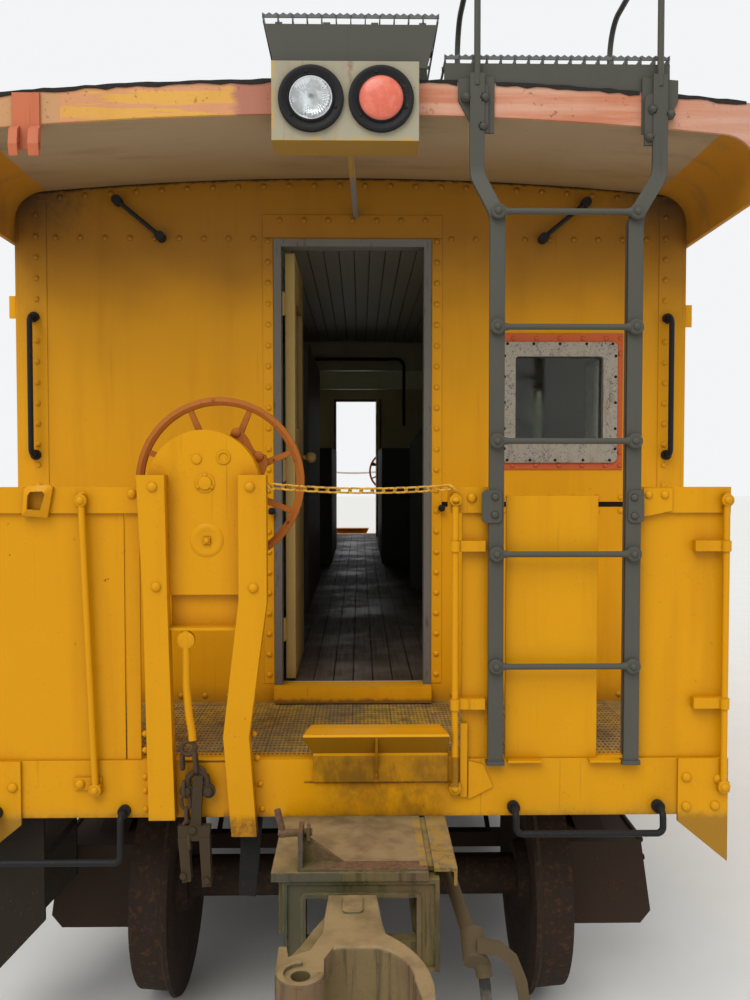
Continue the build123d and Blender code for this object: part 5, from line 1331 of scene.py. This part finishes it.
class CABOOSE_OT_roof_walks(Fitting, bpy.types.Operator):
    """Serrated gratings of the roof walks, on their saddles"""
    bl_idname = "caboose.roof_walks"
    bl_label = "Roof walks"

    def execute(self, context):
        sizes = context.scene.caboose_sizes
        worn = weathered("walk grey", linear("6A6B6A"), "ladder")
        outer = -ROOF_Y + 0.025
        top, depth = CROWN + 0.210, 0.030
        # rows: name, x of both edges, y of both ends, top
        walks = [
            ("front_long_walk", (-0.295, 0.295), (-outer, CUPOLA_START - 0.002), top),
            ("rear_long_walk", (-0.295, 0.295), (CUPOLA_END + 0.002, outer), top),
            ("front_cross_walk", (0.315, 1.080), (ROOF_Y + 0.002, ROOF_Y + 0.600), CROWN + 0.090),
            ("rear_cross_walk", (-1.080, -0.315), (-ROOF_Y - 0.600, -ROOF_Y - 0.002), CROWN + 0.090),
        ]
        for name, x_span, y_span, level in walks:
            grating = self.grating(x_span, y_span, level, depth, sizes)
            make(grating, name, "body", worn, "blue_grey_iron")
        supports = self.supports(outer, top - depth)
        make(supports, "walk_saddles", "body", finish_for("ladder"), "blue_grey_iron", bevel=0.001)
        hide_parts("running_boards")
        return {"FINISHED"}

    def grating(self, x_span, y_span, level, depth, sizes):
        """Bars along the car, with serrated bars laid across them."""
        shape = Shape()
        thick = 0.004
        for x, _, _ in evenly((x_span[0] + thick, 0, 0), (x_span[1] - thick, 0, 0), sizes.grating_pitch):
            shape.block((x - thick / 2, y_span[0], level - depth), (x + thick / 2, y_span[1], level - 0.008))
        teeth = round((x_span[1] - x_span[0]) / sizes.tooth)
        for _, y, _ in evenly((0, y_span[0] + thick, 0), (0, y_span[1] - thick, 0), 2 * sizes.grating_pitch):
            rings = []
            for column in range(2 * teeth + 1):
                x = x_span[0] + (x_span[1] - x_span[0]) * column / (2 * teeth)
                z = level - (0.007 if column % 2 else 0.0)
                rings.append([Vector((x, y - thick / 2, level - 0.017)), Vector((x, y - thick / 2, z)),
                              Vector((x, y + thick / 2, z)), Vector((x, y + thick / 2, level - 0.017))])
            shape.skin(rings)
        return shape

    def supports(self, outer, under):
        """Risers at the roof's ends, saddles along the long walks and plates under the cross walks."""
        shape = Shape()
        for end, inner in ((-1, -CUPOLA_START), (1, CUPOLA_END)):
            self.riser(shape, end, outer, under)
            # one saddle a metre
            for index in range(int(outer - inner - 0.4) + 1):
                self.saddle(shape, end * (outer - 0.225 - index), under)
            for back in (0.008, 0.300, 0.580):
                self.cross_plate(shape, end, end * (-ROOF_Y - back))
        return shape

    def riser(self, shape, end, outer, under):
        """The sloping plate under a long walk's outer end, with its four lugs."""
        y0, y1 = sorted((end * (outer - 0.010), end * (outer - 0.004)))
        outline = [(-0.255, CROWN + 0.030), (0.255, CROWN + 0.030), (0.290, under - 0.006),
                   (-0.290, under - 0.006)]
        shape.plate(outline, y0, y1)
        for x in (-0.24, -0.08, 0.08, 0.24):
            shape.block((x - 0.012, y0, under - 0.007), (x + 0.012, y1, under))

    def saddle(self, shape, y, under):
        """Two bolted feet on the roof and the bearer across them."""
        for side in (-1, 1):
            foot, head = side * 0.270, side * 0.250
            z = arched(CROWN, foot)
            outline = [(foot - 0.05, z + 0.001), (foot + 0.05, z + 0.001), (foot + 0.05, z + 0.009),
                       (head + 0.02, z + 0.009), (head + 0.02, under), (head - 0.02, under),
                       (head - 0.02, z + 0.009), (foot - 0.05, z + 0.009)]
            shape.plate(outline, y - 0.020, y + 0.020)
            for dx in (-0.035, 0.037):
                shape.bolt((foot + dx, y, z + 0.009), (0, 0, 1), 0.007, 0.008)
        shape.block((-0.290, y - 0.020, under - 0.008), (0.290, y + 0.020, under))

    def cross_plate(self, shape, end, y):
        """A plate on the roof's arch that carries a cross walk."""
        outline = []
        for step in range(7):
            x = 0.315 + 0.765 * step / 6
            outline.append((-end * x, arched(CROWN, x) + 0.001))
        outline += [(-end * 1.080, CROWN + 0.060), (-end * 0.315, CROWN + 0.060)]
        shape.plate(outline, y - 0.004, y + 0.004)


class CABOOSE_OT_marker_lights(Fitting, bpy.types.Operator):
    """Marker light boxes, their black rings, a clear and a red lens at each end"""
    bl_idname = "caboose.marker_lights"
    bl_label = "Marker lights"

    def execute(self, context):
        paints = context.scene.caboose_paints
        front = low("light_boxes").y
        paint(weathered("lamp housing", tuple(paints.housing), "housing", self.zones), "light_boxes")
        clear, red = self.clear_lens(), self.red_lens(tuple(paints.red_lens))
        ring_face = front - 0.001
        lens = Shape()
        self.fluted(lens, (LAMPS[0], ring_face, LAMP_Z), 0.072)
        bowl = Shape()
        profile = [(-0.004, 0.070), (0.010, 0.062), (0.020, 0.045), (0.026, 0.024), (0.026, 0.004)]
        inward = [(-along, radius) for along, radius in profile]
        bowl.turned(inward, (LAMPS[0], ring_face, LAMP_Z), OUTWARD, 40)
        glow = Shape()
        dome = [(-0.020, 0.0725), (0.004, 0.0725), (0.012, 0.062), (0.017, 0.045), (0.020, 0.024),
                (0.021, 0.004)]
        glow.turned(dome, (LAMPS[1], ring_face, LAMP_Z), OUTWARD, 48)
        pieces = both_ends(lens, "clear_lens", clear, "lens")
        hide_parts("lamp_lenses")
        both_ends(bowl, "reflector", self.mirror(), "lens")
        both_ends(glow, "red_lens", red, "lens")
        both_ends(self.rims(front), "light_rims", finish_for("iron"), "black_iron")
        return {"FINISHED"}

    def zones(self, f):
        """Yellow left at the box's edges, a worn patch, the tube of the wiring and the black rings."""
        x0, x1 = low("light_boxes").x, high("light_boxes").x
        front = low("light_boxes").y
        across, rise = across_end(f), f.along("Z") - LAMP_Z
        ragged = f.noise(26.0, 5.0, 0.65, 6.0)
        middle = (x0 + x1) / 2
        side = f.ramp(middle - across + ragged * 0.05, (x1 - x0) / 2 + 0.010, (x1 - x0) / 2 + 0.030)
        ends = f.ramp(LIGHT_BOX_Z - f.along("Z") + ragged * 0.05, 0.138, 0.158)
        under = f.facing("Z") < -0.5
        patch = f.ramp(abs(across - middle) + ragged * 0.08, 0.056, 0.034) * f.ramp(rise, 0.030, 0.055)
        wiring = (f.along("Z") < 3.199) * (abs(f.along("Y")) < -ROOF_Y - 0.02)
        insides = []
        for x in LAMPS:
            off = across - x
            insides.append((off * off + rise * rise) < LAMP_RING ** 2)
        on_ring = abs(f.along("Y")) > -front - 0.0135
        return [
            (side.most(ends) * 0.75, linear("CDA040")),
            (patch * 0.7, linear("8A5A48")),
            (under, linear("A08040")),
            (wiring, linear("7C7A74")),
            (insides[0].most(insides[1]) * on_ring, linear("262422")),
        ]

    def rims(self, front):
        """The inner rim, the flat ring and three screws of each lamp."""
        rims = Shape()
        inner_rim = [(0, 0.078), (0.005, 0.077), (0.007, 0.074), (0.004, 0.071), (-0.004, 0.071)]
        flat_ring = [(-0.006, LAMP_RING), (0.0005, LAMP_RING), (0.0025, 0.104), (0.0025, 0.094),
                     (0.0005, 0.091)]
        for x in LAMPS:
            for profile in (inner_rim, flat_ring):
                rims.turned(profile, (x, front, LAMP_Z), OUTWARD, 48)
            for turn in (100, 220, 340):
                place = (x + 0.0855 * math.cos(math.radians(turn)), front,
                         LAMP_Z + 0.0855 * math.sin(math.radians(turn)))
                rims.stud(place, OUTWARD, 0.006, 0.004)
        return rims

    def fluted(self, shape, centre, radius):
        """A clear lens with upright flutes, bowed outwards."""
        centre = Vector(centre)
        rings = []
        count = 72
        # rows: distance out, share of the radius
        steps = [(-0.014, 1.0), (-0.002, 1.0), (0.006, 0.90), (0.012, 0.72), (0.016, 0.50), (0.018, 0.25),
                 (0.0185, 0.05)]
        for along, share in steps:
            ring = []
            for index in range(count):
                turn = 2 * math.pi * index / count
                flute = 0.0012 * (1 if index % 2 else -1) if 0.2 < share < 0.95 else 0.0
                reach = radius * share
                point = Vector((math.cos(turn) * reach, -(along + flute), math.sin(turn) * reach))
                ring.append(centre + point)
            rings.append(ring)
        shape.skin(rings)

    def clear_lens(self):
        f = Finish("clear lens")
        cloudy = f.ramp(f.noise(30.0, 4.0), 0.40, 0.65)
        return f.finish((0.92, 0.95, 0.95), 0.05 + cloudy * 0.22, transmission_weight=0.92, ior=1.45)

    def red_lens(self, colour):
        f = Finish("red lens")
        across = f.along("X") + f.along("Y").sign() * LAMPS[1]
        rise = f.along("Z") - LAMP_Z
        rim = f.ramp(across * across + rise * rise, 0.062 ** 2, 0.073 ** 2)
        values = {"Vector": f.place(), "Scale": 170.0}
        dots = f.node("ShaderNodeTexVoronoi", {"distance": "CHEBYCHEV"}, values)
        dirt = f.ramp(f.noise(40.0, 5.0), 0.42, 0.66)
        shade = f.layers(colour, [(dirt * 0.25, linear("F09A7E")), (rim * 0.6, linear("A8402E"))])
        # A faint painted glow: the lens emits its own colour
        return f.finish(shade, 0.34 + dirt * 0.25, dots * 0.5, 0.0006, coat_weight=0.3,
                        subsurface_weight=0.2, emission_color=shade, emission_strength=0.10)

    def mirror(self):
        f = Finish("reflector")
        tarnish = f.ramp(f.noise(26.0, 5.0), 0.45, 0.62)
        return f.finish(f.mix(tarnish * 0.5, (0.86, 0.87, 0.88), linear("8F8F86")), 0.14 + tarnish * 0.3,
                        metallic=1.0)


class CABOOSE_OT_platforms(Fitting, bpy.types.Operator):
    """Lugged deck plates, the crossover plates and the side steps"""
    bl_idname = "caboose.platforms"
    bl_label = "Platforms and steps"

    def execute(self, context):
        sizes = context.scene.caboose_sizes
        deck = self.deck_finish()
        paint(deck, "platform_decks")
        paint(finish_for("platform"), "crossover_plates")
        paint(weathered("step iron", linear("2B251D"), "grimy"), "side_steps", "platform_stringers")
        pitch = sizes.lug_pitch
        shape = Shape()
        x_reach, y_start, y_stop = SILL_HALF - 0.230, SILL_Y + 0.060, WALL_Y - 0.060
        columns = int(x_reach / pitch)
        for _, y, _ in evenly((0, y_start, 0), (0, y_stop, 0), 2 * pitch):
            for column in range(-columns, columns + 1):
                lug = [(0, 0.0048), (0.0016, 0.0042), (0.0026, 0.0022)]
                shape.turned(lug, (column * pitch, y, DECK_TOP), (0, 0, 1), 6)
        both_ends(shape, "deck_lugs", deck, "deck_steel")
        return {"FINISHED"}

    def deck_finish(self):
        """Yellow left between dark worn lugs, with plank joints along the car and brown stains."""
        f = Finish("deck steel")
        inward = abs(f.along("Y"))
        worn = f.ramp(f.noise(3.0, 5.0, 0.6), 0.36, 0.60)
        high_spot = f.ramp(f.along("Z"), DECK_TOP + 0.0003, DECK_TOP + 0.0012)
        ground = f.layers(linear("B8922C"), [
            (f.ramp(f.noise(20.0, 5.0, 0.65, 3.0), 0.40, 0.60), linear("8A7236")),
            (worn * 0.55, linear("6E675A")),
            ((inward > -SILL_Y - 0.055) * (inward < -SILL_Y), linear("85827A")),
        ])
        joint = abs((f.along("X") + 30.0) % 0.150 - 0.075) > 0.0735
        dots = f.mix(f.ramp(f.noise(45.0, 4.0), 0.4, 0.6), linear("5A5046"), linear("40372F"))
        shade = f.mix(high_spot, f.mix(joint * 0.8, ground, linear("2B241C")), dots)
        rusty = f.ramp(f.noise(5.0, 6.0, 0.65, 8.0), 0.54, 0.66)
        shade = f.mix(rusty * 0.55, shade, linear("5C4022"))
        height = f.noise(130.0, 3.0) + worn - joint
        rough = 0.60 - high_spot * 0.12 + rusty * 0.15
        return f.finish(shade, rough, height, 0.0008, metallic=high_spot * 0.25)


class CABOOSE_OT_draft_gear(Fitting, bpy.types.Operator):
    """Couplers, strikers and train pipes, rough cast and rusted"""
    bl_idname = "caboose.draft_gear"
    bl_label = "Draft gear"

    def execute(self, context):
        paints = context.scene.caboose_paints
        paint(self.casting(tuple(paints.casting)), "couplers", "draft_pockets")
        paint(weathered("pipe iron", linear("5F513B"), "rusted"), "train_pipes")
        return {"FINISHED"}

    def casting(self, colour):
        """Coarse casting: olive tan with rust, dust on top, moss in its hollows, runs down its sides, and
        dirt with painted shade darkening its hollows.
        """
        f = Finish("rough casting")
        broad = f.noise(3.0, 4.0, 0.55)
        pits = f.noise(70.0, 5.0, 0.7, 3.0)
        grains = f.noise(260.0, 2.0, 0.5, 5.0)
        across, reach = across_end(f), abs(f.along("Y"))
        upward = f.ramp(f.facing("Z"), 0.3, 0.8)
        upright = 1 - f.ramp(abs(f.facing("Z")), 0.3, 0.7)
        runs = f.noise((45.0, 45.0, 2.5), 4.0, 0.6, 9.0)
        dust = upward * f.ramp(f.noise(9.0, 5.0), 0.30, 0.62)
        striker = (reach < -SILL_Y + 0.46) * upright
        lever = f.along("Z") > 0.956
        lever_rust = f.mix(f.ramp(pits, 0.40, 0.60), linear("5A4030"), linear("73513C"))
        strip = (across > 0.205) * (reach < -SILL_Y + 0.405)
        strip = strip * f.ramp(f.noise(24.0, 5.0, 0.65, 15.0), 0.46, 0.52)
        leg = (across < -0.02) * (reach > -SILL_Y + 0.408) * (reach < -SILL_Y + 0.46) * upright
        shut = f.shut_in(0.10)
        moss = f.ramp(shut + f.noise(7.0, 5.0, 0.6, 7.0) - 0.5, 0.25, 0.55)
        worn = f.edges(0.006) * f.ramp(f.noise(24.0, 4.0), 0.45, 0.6)
        shade = f.layers(colour, [
            (f.ramp(broad, 0.40, 0.64) * 0.6, linear("6B5240")),
            (f.ramp(runs, 0.50, 0.62) * upright * 0.6, linear("3F3A2C")),
            (f.ramp(pits, 0.52, 0.66) * 0.4, linear("7E5440")),
            (dust * 0.55, linear("AE9468")),
            (striker * 0.55, (0.55, 0.55, 0.50), "MULTIPLY"),
            (lever * 0.85, lever_rust),
            (strip * 0.55, linear("B08A2E")),
            (leg * 0.60, linear("464C44")),
            (moss * 0.55, linear("5E602C")),
            (worn * 0.45, linear("B0A68E")),
            # Painted shade with dirt: darker where the casting's hollows close it in
            (f.ramp(shut, 0.40, 0.95) * 0.75, GRIME_AND_SHADE, "MULTIPLY"),
        ])
        return f.finish(shade, 0.80 + grains * 0.1 - 0.05, pits * 1.8 + grains * 0.6 + broad * 3, 0.0014,
                        f.kept.get("soft"), specular_ior_level=0.2)


class CABOOSE_OT_trucks(Fitting, bpy.types.Operator):
    """Truck frames, leaf springs, brake beams and wheels"""
    bl_idname = "caboose.trucks"
    bl_label = "Trucks and wheels"

    def execute(self, context):
        paints = context.scene.caboose_paints
        sizes = context.scene.caboose_sizes
        grimy = weathered("truck iron", tuple(paints.truck), "grimy")
        tread = self.tread(tuple(paints.tyre))
        for truck in ("front_truck", "rear_truck"):
            paint(grimy, *(f"{truck}_{piece}" for piece in ("frame", "bolster", "brake_beams", "springs")))
            paint(tread, f"{truck}_outer_wheelset", f"{truck}_inner_wheelset")
        springs = self.springs(sizes.leaves)
        front, rear = both_ends(springs, "spring_leaves", grimy, "truck_iron", body="{end}_truck",
                                bevel=0.001)
        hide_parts("front_truck_springs")
        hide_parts("rear_truck_springs")
        both_ends(self.frame_bolts(), "frame_bolts", grimy, "truck_iron", body="{end}_truck")
        return {"FINISHED"}

    def springs(self, leaves):
        """Elliptic springs: each half is a pack of curved leaves, shorter towards the middle."""
        shape = Shape()
        corner_low, corner_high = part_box("front_truck_springs")
        centre_y = (corner_low.y + corner_high.y) / 2
        middle = (corner_low.z + corner_high.z) / 2
        rise = (corner_high.z - corner_low.z) / 2
        reach = (corner_high.y - corner_low.y) / 2
        wide = 0.066
        thick = 0.0085
        half_x = 0.978
        for side in (-1, 1):
            for row in (-1, 0, 1):
                x = side * half_x + row * 0.073
                for up in (-1, 1):
                    for leaf in range(leaves):
                        half = reach * (1 - 0.13 * leaf)
                        rings = []
                        for step in range(13):
                            y = half * (step / 6 - 1)
                            z = rise * (1 - (y / reach) ** 2) - leaf * thick - thick
                            ring = [(-wide / 2, z), (wide / 2, z), (wide / 2, z + thick * 0.94),
                                    (-wide / 2, z + thick * 0.94)]
                            rings.append([Vector((x + dx, centre_y + y, middle + up * (dz + 0.0005)))
                                          for dx, dz in ring])
                        shape.skin(rings)
                    band = rise - leaves * thick
                    z0, z1 = sorted((middle + up * (band - 0.004), middle + up * rise))
                    clip = wide / 2 + 0.004
                    shape.block((x - clip, centre_y - 0.030, z0), (x + clip, centre_y + 0.030, z1))
        return shape

    def frame_bolts(self):
        """Bolts of the journal box lids and the side frames' columns."""
        shape = Shape()
        corner_low, corner_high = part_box("front_truck_frame")
        outer = corner_high.x
        truck_y = (corner_low.y + corner_high.y) / 2
        for side in (-1, 1):
            for axle in (-1, 1):
                y = truck_y + axle * HALF_WHEELBASE
                pin_x = side * (outer - 0.036)
                shape.bar([(pin_x, y - 0.12, 0.632), (pin_x, y + 0.12, 0.632)], 0.014, 12)
                for dy in (-0.115, 0.115):
                    for z in (0.36, 0.56):
                        lean = side * (outer - 0.012 - 0.07 * (z - 0.33))
                        shape.bolt((lean, y + dy, z), (side, 0, 0.14), 0.012, 0.012)
            for y in (truck_y - 0.29, truck_y + 0.29):
                for z in (0.30, 0.42, 0.60, 0.72):
                    shape.bolt((side * 1.038, y, z), (side, 0, 0), 0.016, 0.014)
        return shape

    def tread(self, colour):
        """Rusty sides of the wheels, darker in broad patches, with brown rust and dark drops."""
        f = Finish("wheel steel")
        rough = f.noise(40.0, 5.0, 0.65)
        broad = f.noise(3.0, 5.0, 0.6, 2.0)
        drops = f.ramp(f.noise((60.0, 12.0, 12.0), 4.0), 0.52, 0.62)
        shade = f.layers(colour, [
            (f.ramp(broad, 0.35, 0.65), linear("2C211A")),
            (f.ramp(rough, 0.50, 0.66) * 0.45, linear("5E3C28")),
            (drops * 0.3, linear("2A211B")),
        ])
        return f.finish(shade, 0.72 + rough * 0.15, rough * 1.4 + f.noise(200.0, 2.0) * 0.5, 0.001,
                        specular_ior_level=0.2)


class CABOOSE_OT_underframe(Fitting, bpy.types.Operator):
    """Sills, bearers, reservoir, battery box and smoke jack, and the brackets of the roof's corners"""
    bl_idname = "caboose.underframe"
    bl_label = "Underframe"

    def execute(self, context):
        paints = context.scene.caboose_paints
        black = weathered("underframe black", tuple(paints.iron), "grimy")
        paint(black, "centre_sill", "side_sills", "cross_bearers", "air_reservoir", "battery_box",
              "smoke_jack", "hanger_straps")

        def coral_ends(f):
            return [(abs(f.along("Y")) > -ROOF_Y - 0.060, linear("CC7350"))]

        bracket = weathered("bracket yellow", tuple(paints.wall), "wall", coral_ends)
        paint(bracket, "marker_brackets")
        return {"FINISHED"}


class CABOOSE_PT_panel(bpy.types.Panel):
    """The caboose's operators, colours and sizes"""
    bl_label = "Caboose"
    bl_idname = "CABOOSE_PT_panel"
    bl_space_type = "VIEW_3D"
    bl_region_type = "UI"
    bl_category = "Caboose"

    def draw(self, context):
        for operator in OPERATORS:
            self.layout.operator(operator.bl_idname)
        for group in (context.scene.caboose_paints, context.scene.caboose_sizes):
            box = self.layout.box()
            for name in type(group).__annotations__:
                box.prop(group, name)


# In the order in which they run: each takes the finishes of those before it
OPERATORS = [
    CABOOSE_OT_stage,
    CABOOSE_OT_brake_hoses,
    CABOOSE_OT_shell_paint,
    CABOOSE_OT_wall_rivets,
    CABOOSE_OT_windows,
    CABOOSE_OT_cabin,
    CABOOSE_OT_railings,
    CABOOSE_OT_hand_brakes,
    CABOOSE_OT_safety_chains,
    CABOOSE_OT_ladders,
    CABOOSE_OT_roof_walks,
    CABOOSE_OT_marker_lights,
    CABOOSE_OT_platforms,
    CABOOSE_OT_draft_gear,
    CABOOSE_OT_trucks,
    CABOOSE_OT_underframe,
]
CLASSES = [CaboosePaints, CabooseSizes, *OPERATORS, CABOOSE_PT_panel]


def register():
    for one in CLASSES:
        bpy.utils.register_class(one)
    bpy.types.Scene.caboose_paints = PointerProperty(type=CaboosePaints)
    bpy.types.Scene.caboose_sizes = PointerProperty(type=CabooseSizes)


def unregister():
    del bpy.types.Scene.caboose_sizes
    del bpy.types.Scene.caboose_paints
    for one in reversed(CLASSES):
        bpy.utils.unregister_class(one)


def main():
    """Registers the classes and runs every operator."""
    register()
    for operator in OPERATORS:
        family, name = operator.bl_idname.split(".")
        result = getattr(getattr(bpy.ops, family), name)()
        if result != {"FINISHED"}:
            raise RuntimeError(f"{operator.bl_label} did not finish")


if __name__ == "__main__":
    main()
